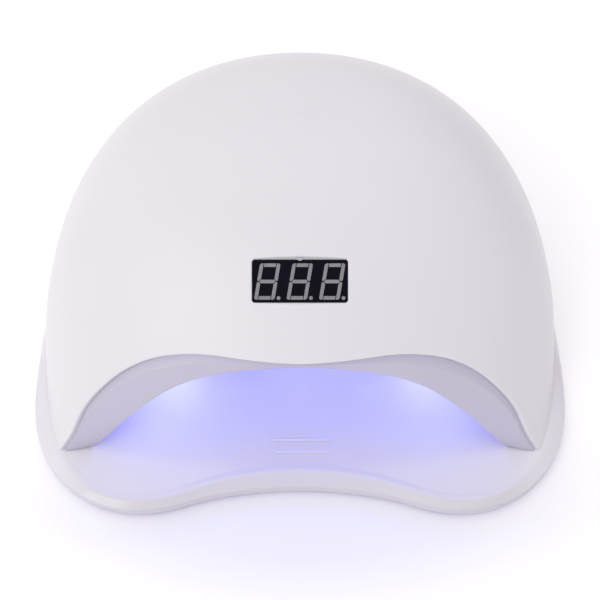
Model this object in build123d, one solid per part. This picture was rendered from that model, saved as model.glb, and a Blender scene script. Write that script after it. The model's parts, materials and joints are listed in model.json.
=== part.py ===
from build123d import *
import os
import math

# ---------------------------------------------------------------------------
# Domed LED nail lamp standing on a removable tray.  Millimetres, +Z up.
# Origin: middle of the footprint, on the surface the rubber feet stand on.
# -Y is the open front where the hand goes in, +Y is the back with the
# timer buttons and the power inlet.
# ---------------------------------------------------------------------------

# ---- driving dimensions ----------------------------------------------------
TRAY_HALF_W = 118.0       # tray half width
TRAY_REAR_Y = 102.45      # rearmost tray point
TRAY_WIDE_Y = -15.0       # where the tray is widest
TRAY_REAR_EXP = 2.6       # fullness of the tray's rear outline
PAN_Z0 = 0.8              # underside of the tray's lower pan
PAN_FLOOR = 2.8           # top of the pan's floor
PART_LINE = 4.7           # top edge of the pan's wall
PART_GAP = 0.2            # visible parting line
RIM_Z = 5.5               # top of the tray's short vertical edge
RIDGE_Z = 7.8             # crest of the soft ridge round the tray floor
FLOOR_Z = 7.5             # tray floor
FLOOR_UNDER = 5.3         # underside of the tray floor
FEET_R = 7.0

BASE_Z = 8.0              # underside of the dome, just above the tray floor
DOME_H = 100.0            # top of the dome
WALL = 2.2                # shell wall
GAP = 0.3                 # gap between shell and liner
LINER_T = 2.0             # vault wall
FLANGE_T = 2.2            # front band and base flange

DISP_C = (0.0, -37.75, 76.9)   # centre of the display window on the skin
DISP_TILT = 35.0               # the skin's slope there, degrees
DISP_W, DISP_H, DISP_D = 37.4, 16.6, 8.0
DISP_SINK = 1.05          # the flat module sits this much lower, so that its ends are flush with the curved skin
DIGIT_H, DIGIT_W, DIGIT_PITCH, SEG_T, SLANT = 14.2, 8.05, 12.7, 1.4, 9.6

BTN_X = (-25.5, -8.5, 8.5, 25.5)
BTN_NAMES = ("99", "60", "30", "10")     # seen from the back, 10 is on the left
BTN_Z = 60.0
BTN_R = 5.0
PANEL_Y = 92.6            # flat recessed button panel
PANEL_HW, PANEL_HH = 33.5, 8.5
BTN_OUT_Y = 95.0
BTN_TRAVEL = 0.5

JACK_Z = 22.0
JACK_BORE_R = 2.9         # takes a 5.5 mm barrel
JACK_PIN_R = 1.0

SHELL_SCREWS = ((102.0, -46.0), (103.2, 18.0), (69.0, 72.5))
MAGNETS = ((103.2, -16.0), (44.0, 84.2))
PADS = ((103.0, 2.0), (99.5, -58.0), (82.0, 62.0), (26.0, 85.0))
TRAY_SCREWS = ((70.0, -86.0), (100.0, 20.0), (52.0, 80.0))
FEET = ((92.0, -72.0), (84.0, 58.0))
RIBS = ((-13.2, 1.0, -67.8, 0.2), (-13.2, 1.0, -69.4, 0.2), (-13.2, 12.8, -71.2, 0.45),
        (-10.0, 2.0, -73.4, 0.2), (-11.0, 12.3, -76.8, 0.45))   # left end, right end, y, height above the floor

# ---- dome skin -------------------------------------------------------------
# Level curves are two half superellipses that share the widest line.
SK = dict(a=115.039, yw0=4.462 - 13.92, ya=41.643 - 13.92, e=1.926,
          Lf=171.419, Lb=70.987, mf=0.55, kf=2.0, ms=1.773, ks=3.161,
          mb=4.259, kb=2.844, nf0=1.998, nf1=1.95, nb0=2.599, nb1=1.984)
SKIN_Z0 = 7.5


def spow(v, p):
    return math.copysign(abs(v) ** p, v)


def skin_level(z, off=0.0):
    top = DOME_H - off
    t = min(max((z - SKIN_Z0) / (top - SKIN_Z0), 0.0), 0.9999)
    A = SK["a"] * (1 - t ** SK["ms"]) ** (1 / SK["ks"]) - off * (1 - 0.6 * t ** 6)
    yF = SK["ya"] - SK["Lf"] * (1 - t ** SK["mf"]) ** (1 / SK["kf"]) + off * (1 - 0.6 * t ** 6)
    yB = SK["ya"] + SK["Lb"] * (1 - t ** SK["mb"]) ** (1 / SK["kb"]) - off * (1 - 0.6 * t ** 6)
    yw = SK["yw0"] + (SK["ya"] - SK["yw0"]) * t ** SK["e"]
    nf = SK["nf0"] + (SK["nf1"] - SK["nf0"]) * t + 0.22 * (1 - t) ** 4
    nb = SK["nb0"] + (SK["nb1"] - SK["nb0"]) * t
    return A, yF, yB, yw, nf, nb


def skin_wire(z, off=0.0, n=44):
    A, yF, yB, yw, nf, nb = skin_level(z, off)
    pts = []
    for i in range(n):
        ph = 2 * math.pi * (i + 0.0) / n - math.pi / 2
        c, s = math.cos(ph), math.sin(ph)
        m, B = (nb, yB - yw) if s >= 0 else (nf, yw - yF)
        pts.append((A * spow(c, 2 / m), yw + B * spow(s, 2 / m), z))
    return Wire([Edge.make_spline([Vector(*p) for p in pts], periodic=True)])


def skin_solid(off, z_low, levels):
    zs = [z_low] + [z for z in levels if z > z_low + 1.0]
    return Solid.make_loft([skin_wire(z, off) for z in zs])


LEVELS = (12, 17, 24, 33, 43, 53, 62, 70, 77, 83, 88, 92, 95, 97.3, 98.8, 99.55, 99.85)


def levels(top):
    k = (top - SKIN_Z0) / (DOME_H - SKIN_Z0)
    return [SKIN_Z0 + (z - SKIN_Z0) * k for z in LEVELS]


def box(x0, x1, y0, y1, z0, z1):
    return Pos((x0 + x1) / 2, (y0 + y1) / 2, (z0 + z1) / 2) * Box(x1 - x0, y1 - y0, z1 - z0)


def cyl(x, y, z0, z1, r):
    return Pos(x, y, (z0 + z1) / 2) * Cylinder(r, z1 - z0)


def cyl_y(x, z, y0, y1, r):
    return Pos(x, (y0 + y1) / 2, z) * Rot(90, 0, 0) * Cylinder(r, y1 - y0)


def solids_of(shape):
    if isinstance(shape, (list, tuple)):
        out = []
        for s in shape:
            out += solids_of(s)
        return out
    return [s for s in shape.solids()]


os.makedirs("parts", exist_ok=True)
NODES = {}


def put(name, shape):
    sl = solids_of(shape)
    comp = sl[0] if len(sl) == 1 else Compound(children=sl)
    comp.label = name
    export_step(comp, "parts/" + name + ".step")
    NODES[name] = comp
    print(name, len(sl), round(sum(s.volume for s in sl), 1))


# ---- front arch: outer edge on the skin, inner edge of the mouth ----------
ARCH_OUT = [(0, 57.6), (8, 57.7), (23.7, 57.82), (35.6, 57.53), (43.61, 56.55), (47.61, 55.76), (55.83, 53.48),
            (64.26, 49.82), (73.03, 44.27), (82.37, 35.95), (90.5, 26.04), (96.4, 15.8), (101.81, 8.0), (106.5, 1.5)]
ARCH_OUT_Y = [-64.0, -63.6, -61.8, -59.7, -58.7, -58.3, -58.0, -58.4, -60.0, -63.0, -67.0, -72.8, -76.9, -79.6]
MOUTH = [(0, 51.6), (12.1, 51.2), (24.1, 49.9), (36.1, 47.5), (44.3, 44.8), (52.7, 40.4), (61.5, 33.7),
         (69.6, 26.6), (77.9, 18.2), (81.8, 13.9), (84.8, 10.9), (88.6, 8.5), (94.0, 6.8)]


def mirror_pts(pts):
    return [(-x, z) for x, z in reversed(pts) if x > 0] + list(pts)


def elevation_prism(pts, y0, y1):
    p = mirror_pts(pts)
    zlow = p[0][1]
    spl = Edge.make_spline([Vector(x, y0, z) for x, z in p])
    base = Edge.make_line(Vector(p[-1][0], y0, zlow), Vector(p[0][0], y0, zlow))
    f = Face(Wire([spl, base]))
    return Solid.extrude(f, Vector(0, y1 - y0, 0))


def shifted(pts, k):
    """Elevation curve moved k outwards from the arch's middle."""
    out = []
    for i, (x, z) in enumerate(pts):
        x0, z0 = pts[max(i - 1, 0)]
        x1, z1 = pts[min(i + 1, len(pts) - 1)]
        if i == 0:
            x0, z0 = -x1, z1
        dx, dz = x1 - x0, z1 - z0
        L = math.hypot(dx, dz)
        out.append((x - k * dz / L, z + k * dx / L))
    return out


def plane_y(z):
    """The mouth's inner edge lies in a plane that leans back 16 degrees."""
    return -74.4 + 0.288 * (z - 9.0)


def arch_wire(pts, ys):
    q = [(-x, y, z) for (x, z), y in zip(reversed(pts), reversed(ys)) if x > 0.01] + [(x, y, z) for (x, z), y in zip(pts, ys)]
    return Wire([Edge.make_spline([Vector(*p) for p in q])])


OUT_Y = [y + 0.45 for y in ARCH_OUT_Y]
IN_Y = [plane_y(z) for x, z in MOUTH]
w_in2 = shifted(MOUTH, -9.0)
w_out2 = shifted(ARCH_OUT, 9.0)
band_shell = Shell.make_loft([
    arch_wire(w_in2, [y + 0.4 for y in IN_Y]),
    arch_wire(MOUTH, IN_Y),
    arch_wire(ARCH_OUT, OUT_Y),
    arch_wire(w_out2, [y + 1.0 for y in OUT_Y])])
band_face = band_shell.faces()[0]
front_of_band = Solid.extrude(band_face, Vector(0, -90, 0))
band_slab = Solid.extrude(band_face, Vector(0, FLANGE_T, 0))

# ---- dome solids ------------------------------------------------------------
dome = skin_solid(0.0, BASE_Z, levels(100.0))
dome_in = skin_solid(WALL, BASE_Z - 0.1, levels(100.0 - WALL))
dome_fit = skin_solid(WALL + GAP, BASE_Z, levels(100.0 - WALL - GAP))

# ---- cavity: half spaces  n.p <= d  cut from a block -------------------------
FACETS = [
    ((0, 0, 1), 60.0),
    ((1, 0, 0), 94.0), ((-1, 0, 0), 94.0),
    ((0.765, 0, 0.644), 86.1), ((-0.765, 0, 0.644), 86.1),
    ((0, -0.514, 0.857), 76.9),
    ((0.50, -0.35, 0.792), 81.8), ((-0.50, -0.35, 0.792), 81.8),
    ((0.80, -0.45, 0.397), 106.6), ((-0.80, -0.45, 0.397), 106.6),
    ((0, 0.908, 0.419), 71.5),
    ((0.643, 0.643, 0.416), 88.0), ((-0.643, 0.643, 0.416), 88.0),
]


def halfspace(n, d):
    v = Vector(*n).normalized()
    pl = Plane(origin=v * d, z_dir=v)
    return pl * (Pos(0, 0, 150) * Box(700, 700, 300))


def cavity(grow, z0, radius):
    b = box(-130, 130, -110, 120, z0, 90)
    for n, d in FACETS:
        L = math.sqrt(sum(c * c for c in n))
        b = b - halfspace(n, d / L + grow)
    es = [e for e in b.edges() if e.center().Z > z0 + 1.5]
    return b.fillet(radius, es) if radius > 0 else b


vault_in = cavity(0.0, -4.0, 7.0)
vault_out = cavity(LINER_T, -4.0, 0.0)

# ---- LED places ---------------------------------------------------------------
SIDE_LED_Y = (-13.0, 5.0, 23.0)
LEDS = []   # (point on the cavity wall, inward direction)
for lx in (-34.0, 0.0, 34.0):
    for ly in (-18.0, 10.0, 38.0):
        LEDS.append((Vector(lx, ly, 60.0), Vector(0, 0, -1)))
nv = Vector(0.765, 0, 0.644).normalized()
dv = Vector(-nv.Z, 0, nv.X)
pc = Vector(78.0, 0, (86.1 - 0.765 * 78.0) / 0.644)
for sgn in (1, -1):
    for k in (-11.0, 11.0):
        for ly in SIDE_LED_Y:
            p = pc + dv * k
            LEDS.append((Vector(sgn * p.X, ly, p.Z), Vector(-sgn * nv.X, 0, -nv.Z)))
nr = Vector(0, 0.908, 0.419).normalized()
zr = 30.0
yr = (71.5 - 0.419 * zr) / 0.908
for lx in (-28.0, 0.0, 28.0):
    LEDS.append((Vector(lx, yr, zr), Vector(0, -nr.Y, -nr.Z)))


def along(p, d, a, b, r):
    """Cylinder on the axis p + d*t from t=a to t=b."""
    pl = Plane(origin=p + d * ((a + b) / 2), z_dir=d)
    return pl * Cylinder(r, abs(b - a))


# ---- outer shell ----------------------------------------------------------------
shell = dome.cut(dome_in, elevation_prism(ARCH_OUT, -200, -40))
# flat recessed button panel at the back
pocket = Pos(0, 150, BTN_Z) * Rot(90, 0, 0) * extrude(SlotOverall(2 * PANEL_HW, 2 * PANEL_HH), 150 - PANEL_Y)
plate = Pos(0, PANEL_Y, BTN_Z) * Rot(90, 0, 0) * extrude(SlotOverall(2 * PANEL_HW + 12, 2 * PANEL_HH + 5), WALL)
adds = [plate] + [cyl_y(sx * 38.5, BTN_Z, 86.0, 94.0, 2.8) for sx in (-1, 1)]
for x, y in SHELL_SCREWS:
    for sx in (-1, 1):
        bx = sx * x
        ang = math.degrees(math.atan2(y if y > 40 else 0.15 * y, bx))
        adds.append(cyl(bx, y, 10.4, 30.0, 3.3))
        adds.append(Pos(bx, y, 24.0) * Rot(0, 0, ang) * (Pos(9, 0, 0) * Box(18, 2.0, 20.0)))
clipped = []
for s in adds:
    clipped += solids_of(dome & s)
shell = shell.cut(*solids_of(pocket)).fuse(*clipped)
cuts = [cyl_y(sx * 38.5, BTN_Z, 84.0, 89.6, 1.05) for sx in (-1, 1)]
cuts += [cyl_y(bx, BTN_Z, 88.0, 97.0, BTN_R + 0.3) for bx in BTN_X]
cuts += [cyl_y(bx, BTN_Z, 80.0, PANEL_Y - WALL, 6.9) for bx in BTN_X]
cuts += [cyl_y(0, JACK_Z, 88.0, 110.0, 5.75)]
for sx in (-1, 1):
    for k in range(5):
        cuts.append(Pos(sx * (30.0 + 5.2 * k), 90, 22.0) * Rot(90, 0, 0) * Rot(0, 0, 90)
                    * extrude(SlotOverall(15.0, 2.2), 25, both=True))
cuts += [cyl(sx * x, y, 9.0, 24.0, 1.45) for x, y in SHELL_SCREWS for sx in (-1, 1)]
DN = Vector(0, -math.sin(math.radians(DISP_TILT)), math.cos(math.radians(DISP_TILT)))
disp_plane = Plane(origin=Vector(*DISP_C), x_dir=(1, 0, 0), z_dir=DN)
cuts.append(disp_plane * (Pos(0, 0, -10) * extrude(RectangleRounded(DISP_W + 0.3, DISP_H + 0.3, 1.2), 20)))
shell = shell.cut(*solids_of(cuts))
put("outer_shell", shell)
disp_plane = Plane(origin=Vector(*DISP_C) - DN * DISP_SINK, x_dir=(1, 0, 0), z_dir=DN)

# ---- inner liner -------------------------------------------------------------------
band = (dome_fit & band_slab).cut(elevation_prism(MOUTH, -200, -20))
vault = (vault_out - vault_in) & dome_fit
foot = (dome_fit & box(-130, 130, -80, 130, BASE_Z, BASE_Z + FLANGE_T)) - vault_in
BOARD_POSTS = ((50.0, -6.0), (50.0, 44.0))
LED_POSTS = ((17.0, -4.0), (17.0, 24.0))
liner = vault.fuse(*solids_of(foot)).cut(front_of_band)
liner = liner.cut(box(-130, 130, -200, -76.6, -10, 90))
extra = []
extra += solids_of(band)
for x, y in MAGNETS:
    for sx in (-1, 1):
        extra.append(cyl(sx * x, y, BASE_Z + 0.5, 12.2, 6.2))
for x, y in PADS:
    for sx in (-1, 1):
        extra.append(cyl(sx * x, y, FLOOR_Z, BASE_Z + 0.5, 3.0))
for x, y in BOARD_POSTS:
    for sx in (-1, 1):
        extra.append(cyl(sx * x, y, 61.0, 74.0, 2.8))
for x, y in LED_POSTS:
    for sx in (-1, 1):
        extra.append(cyl(sx * x, y, 61.0, 64.0, 2.6))
liner = liner.fuse(*solids_of(extra))
cuts = [along(p, d, -6, 6, 4.3) for p, d in LEDS]
cuts += [cyl(sx * x, y, 8.8, 13.0, 5.05) for x, y in MAGNETS for sx in (-1, 1)]
for x, y in SHELL_SCREWS:
    for sx in (-1, 1):
        cuts += [cyl(sx * x, y, 7.0, 12.0, 1.7), cyl(sx * x, y, 7.0, 9.4, 3.1)]
cuts += [cyl(sx * x, y, 66.0, 75.0, 1.05) for x, y in BOARD_POSTS for sx in (-1, 1)]
cuts += [cyl(sx * x, y, 60.9, 65.0, 1.05) for x, y in LED_POSTS for sx in (-1, 1)]
# hand sensor holes in the front slope of the ceiling
fn = Vector(0, -0.514, 0.857).normalized()
ys = -56.0
zs = (76.9 / math.sqrt(0.514 ** 2 + 0.857 ** 2) - fn.Y * ys) / fn.Z
SENS = [(Vector(sx * 12.0, ys, zs), Vector(0, -fn.Y, -fn.Z)) for sx in (-1, 1)]
cuts += [along(p, d, -6, 6, 1.65) for p, d in SENS]
liner = liner.cut(*solids_of(cuts))
put("inner_liner", liner)

# ---- LEDs -------------------------------------------------------------------------------
bases, lenses, pins = [], [], []
for p, d in LEDS:
    bases.append(along(p, d, -3.0, -0.4, 3.9))
    lens = along(p, d, -0.4, 0.6, 3.2)
    pl = Plane(origin=p + d * 0.6, z_dir=d)
    ball = pl * (Pos(0, 0, -1.0) * Sphere(3.352))
    cap = ball & (pl * (Pos(0, 0, 2.5) * Box(8, 8, 5)))
    lenses.append(lens + cap)
    pl0 = Plane(origin=p + d * -3.5, z_dir=d)
    for o in (-1.3, 1.3):
        pins.append(pl0 * (Pos(o, 0, 0) * Cylinder(0.5, 1.0)))
put("led_bases", bases)
put("led_lenses", lenses)
put("led_pins", pins)

# boards behind the vault wall
BT = 1.6


def board(plane_pt, outward, xdir, w, h, r=2.0):
    pl = Plane(origin=plane_pt, x_dir=xdir, z_dir=outward)
    return pl * extrude(RectangleRounded(w, h, r), BT)


top_board = board(Vector(0, 10, 64.0), Vector(0, 0, 1), (1, 0, 0), 84.0, 70.0)
top_board = top_board.cut(*[cyl(sx * x, y, 63, 67, 1.3) for x, y in LED_POSTS for sx in (-1, 1)])
put("top_led_board", top_board)
side_screw_pts = []
for sgn, nm in ((-1, "left_led_board"), (1, "right_led_board")):
    o = Vector(sgn * pc.X, SIDE_LED_Y[1], pc.Z) + Vector(sgn * nv.X, 0, nv.Z) * 4.0
    b = board(o, Vector(sgn * nv.X, 0, nv.Z), (0, 1, 0), 56.0, 34.0)
    for ly in (SIDE_LED_Y[1] - 9.0, SIDE_LED_Y[1] + 9.0):
        q = Vector(sgn * pc.X, ly, pc.Z)
        dd = Vector(-sgn * nv.X, 0, -nv.Z)
        b = b - along(q, dd, -8, 0, 1.3)
        side_screw_pts.append((q, dd))
    put(nm, b)
rear_board = board(Vector(0, yr, zr) + nr * 4.0, nr, (1, 0, 0), 70.0, 16.0)
rear_screw_pts = []
for lx in (-14.0, 14.0):
    q = Vector(lx, yr, zr)
    dd = Vector(0, -nr.Y, -nr.Z)
    rear_board = rear_board - along(q, dd, -8, 0, 1.3)
    rear_screw_pts.append((q, dd))
put("rear_led_board", rear_board)

# spacers under the side and rear boards, one round each screw
put("led_board_spacers", [along(q, dd, -4.0, -LINER_T, 2.6) - along(q, dd, -5.0, -1.0, 1.3)
                          for q, dd in side_screw_pts + rear_screw_pts])


def screw(p, d, head_at, head_h, head_r, shank_r, length):
    """Pan-head screw: the head reaches back from head_at, the shank runs on along d."""
    h = along(p, d, head_at - head_h, head_at, head_r)
    s = along(p, d, head_at - 0.2, head_at + length, shank_r)
    tip = Plane(origin=p + d * (head_at - head_h), z_dir=d)
    return (h + s).cut(tip * Box(head_r * 1.2, 0.5, 0.8), tip * Box(0.5, head_r * 1.2, 0.8))


put("led_board_screws",
    [screw(Vector(sx * x, y, 64.0 + BT), Vector(0, 0, -1), 0.0, 1.2, 2.2, 0.95, 4.2) for x, y in LED_POSTS for sx in (-1, 1)]
    + [screw(q, dd, -4.0 - BT, 1.2, 2.2, 0.95, 3.2) for q, dd in side_screw_pts + rear_screw_pts])

# ---- main board ---------------------------------------------------------------------------
MB_Z = 74.0
main_board = Pos(0, 19, MB_Z) * extrude(RectangleRounded(110.0, 60.0, 2.0), BT)
main_board = main_board.cut(*[cyl(sx * x, y, 73, 77, 1.3) for x, y in BOARD_POSTS for sx in (-1, 1)])
put("main_board", main_board)
put("main_board_screws", [screw(Vector(sx * x, y, MB_Z + BT), Vector(0, 0, -1), 0.0, 1.2, 2.2, 0.95, 5.5)
                          for x, y in BOARD_POSTS for sx in (-1, 1)])
zt = MB_Z + BT
put("controller_chip", box(-22, -12, 2, 9, zt, zt + 1.8))
put("capacitors", [cyl(24, 6, zt, zt + 9.0, 4.0), cyl(34, 6, zt, zt + 9.0, 4.0), cyl(29, 36, zt, zt + 7.0, 3.2)])
put("inductor", box(4, 16, 16, 28, zt, zt + 2.0) + cyl(10, 22, zt + 2.0, zt + 5.5, 5.0))
put("power_transistors", [box(-38 + 9 * k, -31 + 9 * k, 29, 35, zt, zt + 2.4) for k in range(3)])
CONN = {"left": (-30.0, 14.0), "right": (36.0, 22.0), "rear": (14.0, 43.0), "top": (-10.0, -6.0),
        "display": (8.0, -6.0), "power": (-4.0, 43.0), "buttons": (-22.0, 43.0)}
put("connectors", [box(cx - 4, cx + 4, cy - 2.2, cy + 2.2, zt, zt + 5.0)
                   - box(cx - 3.2, cx + 3.2, cy - 1.5, cy + 1.5, zt + 1.0, zt + 5.5) for cx, cy in CONN.values()])

# ---- display -------------------------------------------------------------------------------
module = disp_plane * (Pos(0, 0, -DISP_D) * extrude(RectangleRounded(DISP_W, DISP_H, 0.9), DISP_D - 0.5))


def digit_faces(cx, cy):
    """Seven bars of one digit, leaning to the right: tall upright bars, flat bars between them."""
    w, h, t, g = DIGIT_W, DIGIT_H, SEG_T, 0.3
    sh = math.tan(math.radians(SLANT))
    polys = []
    a, b = -w / 2 + t + g, w / 2 - t - g
    polys.append([(a, h / 2 - t), (b, h / 2 - t), (b, h / 2), (a, h / 2)])
    polys.append([(a, -h / 2), (b, -h / 2), (b, -h / 2 + t), (a, -h / 2 + t)])
    m = w / 2 - 0.6 * t
    polys.append([(-m, 0), (-m + t / 2, -t / 2), (m - t / 2, -t / 2), (m, 0), (m - t / 2, t / 2), (-m + t / 2, t / 2)])
    for sx in (-1, 1):
        for sy in (-1, 1):
            upright = [(w / 2, 0.2 + 0.25 * t), (w / 2 - 0.2 * t, 0.2), (w / 2 - 0.6 * t + 0.2, 0.2),
                       (w / 2 - t, 0.4 * t + 0.4), (w / 2 - t, h / 2), (w / 2 - 0.6 * t, h / 2),
                       (w / 2 - 0.25 * t, h / 2 - 0.1 * t), (w / 2, h / 2 - 0.45 * t)]
            polys.append([(sx * x, sy * y) for x, y in upright])
    return [make_face(Polyline(*[(cx + x + y * sh, cy + y) for x, y in p], close=True)) for p in polys]


seg_solids, seg_cut = [], []
for k in (-1, 0, 1):
    cx = k * DIGIT_PITCH - 0.1
    shapes = digit_faces(cx, -0.15) + [Pos(cx + 4.4, -6.6, 0) * Circle(0.74)]
    for f in shapes:
        seg_solids.append(disp_plane * (Pos(0, 0, -0.9) * extrude(f, 0.4)))
        seg_cut.append(disp_plane * (Pos(0, 0, -0.9) * extrude(f, 1.0)))
module = module.cut(*solids_of(seg_cut))
put("display_module", module)
put("display_segments", seg_solids)
put("display_board", disp_plane * (Pos(0, 0.8, -DISP_D - BT) * extrude(RectangleRounded(42.0, 14.0, 1.0), BT)))

# ---- hand sensor ---------------------------------------------------------------------------
for (p, d), nm in zip(SENS, ("sensor_emitter", "sensor_receiver")):
    pl = Plane(origin=p, z_dir=d)
    tip = (pl * (Pos(0, 0, 0.4) * Sphere(1.5))) & (pl * (Pos(0, 0, 1.9) * Box(4, 4, 3)))
    put(nm, along(p, d, -1.6, 0.4, 1.5) + tip)

# ---- power inlet ---------------------------------------------------------------------------
SKIN_REAR = SK["ya"] + SK["Lb"]
jack = box(-5.5, 5.5, 82.0, 95.6, JACK_Z - 5.4, JACK_Z + 5.4) + cyl_y(0, JACK_Z, 95.0, SKIN_REAR + 0.4, 5.5) \
    + cyl_y(0, JACK_Z, SKIN_REAR + 0.1, SKIN_REAR + 0.9, 7.2)
jack = jack.cut(cyl_y(0, JACK_Z, 86.5, 110, JACK_BORE_R), cyl_y(0, JACK_Z, 82.9, 90, JACK_PIN_R))
put("dc_jack_sleeve", jack)
put("dc_jack_pin", cyl_y(0, JACK_Z, 83.0, SKIN_REAR - 2.0, JACK_PIN_R - 0.03))

# ---- timer buttons -------------------------------------------------------------------------
BB_Y1 = 86.0
button_board = dome_fit & box(-43, 43, BB_Y1 - BT, BB_Y1, BTN_Z - 8, BTN_Z + 8)
button_board = button_board.cut(*[cyl_y(sx * 38.5, BTN_Z, 80, 90, 1.3) for sx in (-1, 1)])
put("button_board", button_board)
put("button_board_screws", [screw(Vector(sx * 38.5, BB_Y1 - BT, BTN_Z), Vector(0, 1, 0), 0.0, 1.2, 2.2, 0.95, 4.6)
                            for sx in (-1, 1)])
put("switch_bodies", [box(bx - 3, bx + 3, BB_Y1, BB_Y1 + 2.2, BTN_Z - 3, BTN_Z + 3)
                      - cyl_y(bx, BTN_Z, BB_Y1 + 0.3, BB_Y1 + 3, 1.66) for bx in BTN_X])
for bx, nm in zip(BTN_X, BTN_NAMES):
    put("plunger_" + nm, cyl_y(bx, BTN_Z, BB_Y1 + 1.1, BB_Y1 + 3.1, 1.6))
    cap_ = cyl_y(bx, BTN_Z, BB_Y1 + 3.1, BTN_OUT_Y, BTN_R)
    outer_edge = [e for e in cap_.edges() if abs(e.center().Y - BTN_OUT_Y) < 0.01 and e.length > 20]
    cap_ = fillet(outer_edge, 0.8)
    put("button_" + nm, cap_ + cyl_y(bx, BTN_Z, BB_Y1 + 3.1, BB_Y1 + 4.2, 6.4))

# ---- housing screws and magnets -----------------------------------------------------------
put("housing_screws", [screw(Vector(sx * x, y, 9.4), Vector(0, 0, 1), 0.0, 1.2, 2.9, 1.4, 12.0)
                       for x, y in SHELL_SCREWS for sx in (-1, 1)])
put("housing_magnets", [cyl(sx * x, y, 8.8, 11.8, 5.0) for x, y in MAGNETS for sx in (-1, 1)])


# ---- wires inside the housing ---------------------------------------------------------------
def tube(pts, r, rad):
    path = FilletPolyline(*pts, radius=rad)
    return sweep(Plane(origin=path @ 0, z_dir=path % 0) * Circle(r), path=path)


WR = 0.7
zc = zt + 1.0


def side_wire(sgn, cx, cy):
    o = pc + dv * 9.0 + nv * (4.0 + BT)
    a = o + nv * 11.0
    return [tube([(cx, cy + e, zc), (cx, cy + e, 87.0), (sgn * 68.0, cy + e, 81.0), (sgn * a.X, cy + e, a.Z),
                  (sgn * o.X, cy + e, o.Z)], WR, 3.5) for e in (-0.75, 0.75)]


put("left_led_wires", side_wire(-1, *CONN["left"]))
put("right_led_wires", side_wire(1, *CONN["right"]))
ro = Vector(0, yr, zr) + nr * (4.0 + BT) + Vector(0, -nr.Z, nr.Y) * 5.0
ra = ro + nr * 9.0
cx, cy = CONN["rear"]
put("rear_led_wires", [tube([(cx + e, cy, zc), (cx + e, cy, 86.0), (cx + e, 62.0, 84.0), (cx + e, 78.0, 66.0),
                             (cx + e, ra.Y, ra.Z), (cx + e, ro.Y, ro.Z)], WR, 3.0) for e in (-1.2, 1.2)])
cx, cy = CONN["top"]
put("top_led_wires", [tube([(cx + e, cy, zc), (cx + e, cy, 83.0), (cx + e, -16.0, 83.0), (cx + e, -16.0, 64.0 + BT)], WR, 2.5)
                      for e in (-1.2, 1.2)])
up = Vector(0, math.cos(math.radians(DISP_TILT)), math.sin(math.radians(DISP_TILT)))
p0 = Vector(*DISP_C) - DN * (DISP_SINK + DISP_D + BT / 2) + up * 7.8
p1 = p0 + up * 7.0
cx, cy = CONN["display"]
put("display_wires", [tube([(cx + e, p0.Y, p0.Z), (cx + e, p1.Y, p1.Z), (cx + e, -10.5, 84.0), (cx + e, cy, 82.0), (cx + e, cy, zc)],
                           WR, 1.6) for e in (-1.6, 0.0, 1.6)])
cx, cy = CONN["power"]
put("power_wires", [tube([(cx + e, 82.0, JACK_Z), (cx + e, 77.0, JACK_Z), (cx + e, 78.5, 45.0), (cx + e, 78.0, 68.0),
                          (cx + e, 62.0, 84.0), (cx + e, cy, 86.0), (cx + e, cy, zc)], 1.0, 2.6) for e in (-1.3, 1.3)])
cx, cy = CONN["buttons"]
put("button_wires", [tube([(cx + e, BB_Y1 - BT, 62.0), (cx + e, 79.0, 62.0), (cx + e, 76.0, 76.0), (cx + e, 60.0, 85.0),
                           (cx + e, cy, 86.0), (cx + e, cy, zc)], 0.6, 2.4) for e in (-2.1, -0.7, 0.7, 2.1)])

# ---- tray ---------------------------------------------------------------------------------------
FRONT_OUT = [(0, -92.1), (8.6, -92.3), (17.1, -93.0), (25.4, -93.95), (33.8, -95.4), (42.1, -97.4), (50.3, -99.9),
             (58.5, -101.8), (66.7, -102.45), (75.1, -101.7), (83.7, -99.3), (92.7, -94.5), (99.7, -88.9),
             (106.3, -81.2), (111.1, -73.0), (114.2, -64.4), (116.4, -53.5), (117.6, -39.2), (118.0, -25.0)]
FRONT_RIDGE = [(0, -85.0), (8.4, -85.4), (16.9, -86.3), (25.3, -87.7), (33.5, -89.7), (41.7, -92.5), (49.8, -95.2),
               (56.0, -97.1), (62.8, -98.1), (69.8, -98.3), (76.8, -97.4), (82.8, -95.3), (88.0, -92.2),
               (92.3, -88.6), (96.8, -84.0), (100.6, -78.6), (104.9, -69.0), (108.7, -57.0), (112.1, -42.5),
               (114.4, -29.0)]


def closed(front, A, yw, B, n, phis):
    right = list(front) + [(A * spow(math.cos(math.radians(p)), 2 / n), yw + B * spow(math.sin(math.radians(p)), 2 / n))
                           for p in phis]
    rear = [(0.0, yw + B)]
    left = [(-x, y) for x, y in reversed(right) if x > 0.01]
    return right + rear + left


PHIS = [2, 9, 18, 27, 36, 45, 54, 63, 72, 81]
outer_pts = closed(FRONT_OUT, TRAY_HALF_W, TRAY_WIDE_Y, TRAY_REAR_Y - TRAY_WIDE_Y, TRAY_REAR_EXP, PHIS)
ridge_pts = closed(FRONT_RIDGE, SK["a"] + 0.9, SK["yw0"], SKIN_REAR + 0.9 - SK["yw0"], 2.6, PHIS)


def inset(pts, d):
    out = []
    n = len(pts)
    for i, (x, y) in enumerate(pts):
        x0, y0 = pts[i - 1]
        x1, y1 = pts[(i + 1) % n]
        dx, dy = x1 - x0, y1 - y0
        L = math.hypot(dx, dy)
        out.append((x - d * dy / L, y + d * dx / L))
    return out


def outline_wire(pts, z):
    return Wire([Edge.make_spline([Vector(x, y, z) for x, y in pts], periodic=True)])


def slab(pts, z0, z1):
    return Solid.extrude(Face(outline_wire(pts, z0)), Vector(0, 0, z1 - z0))


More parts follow.
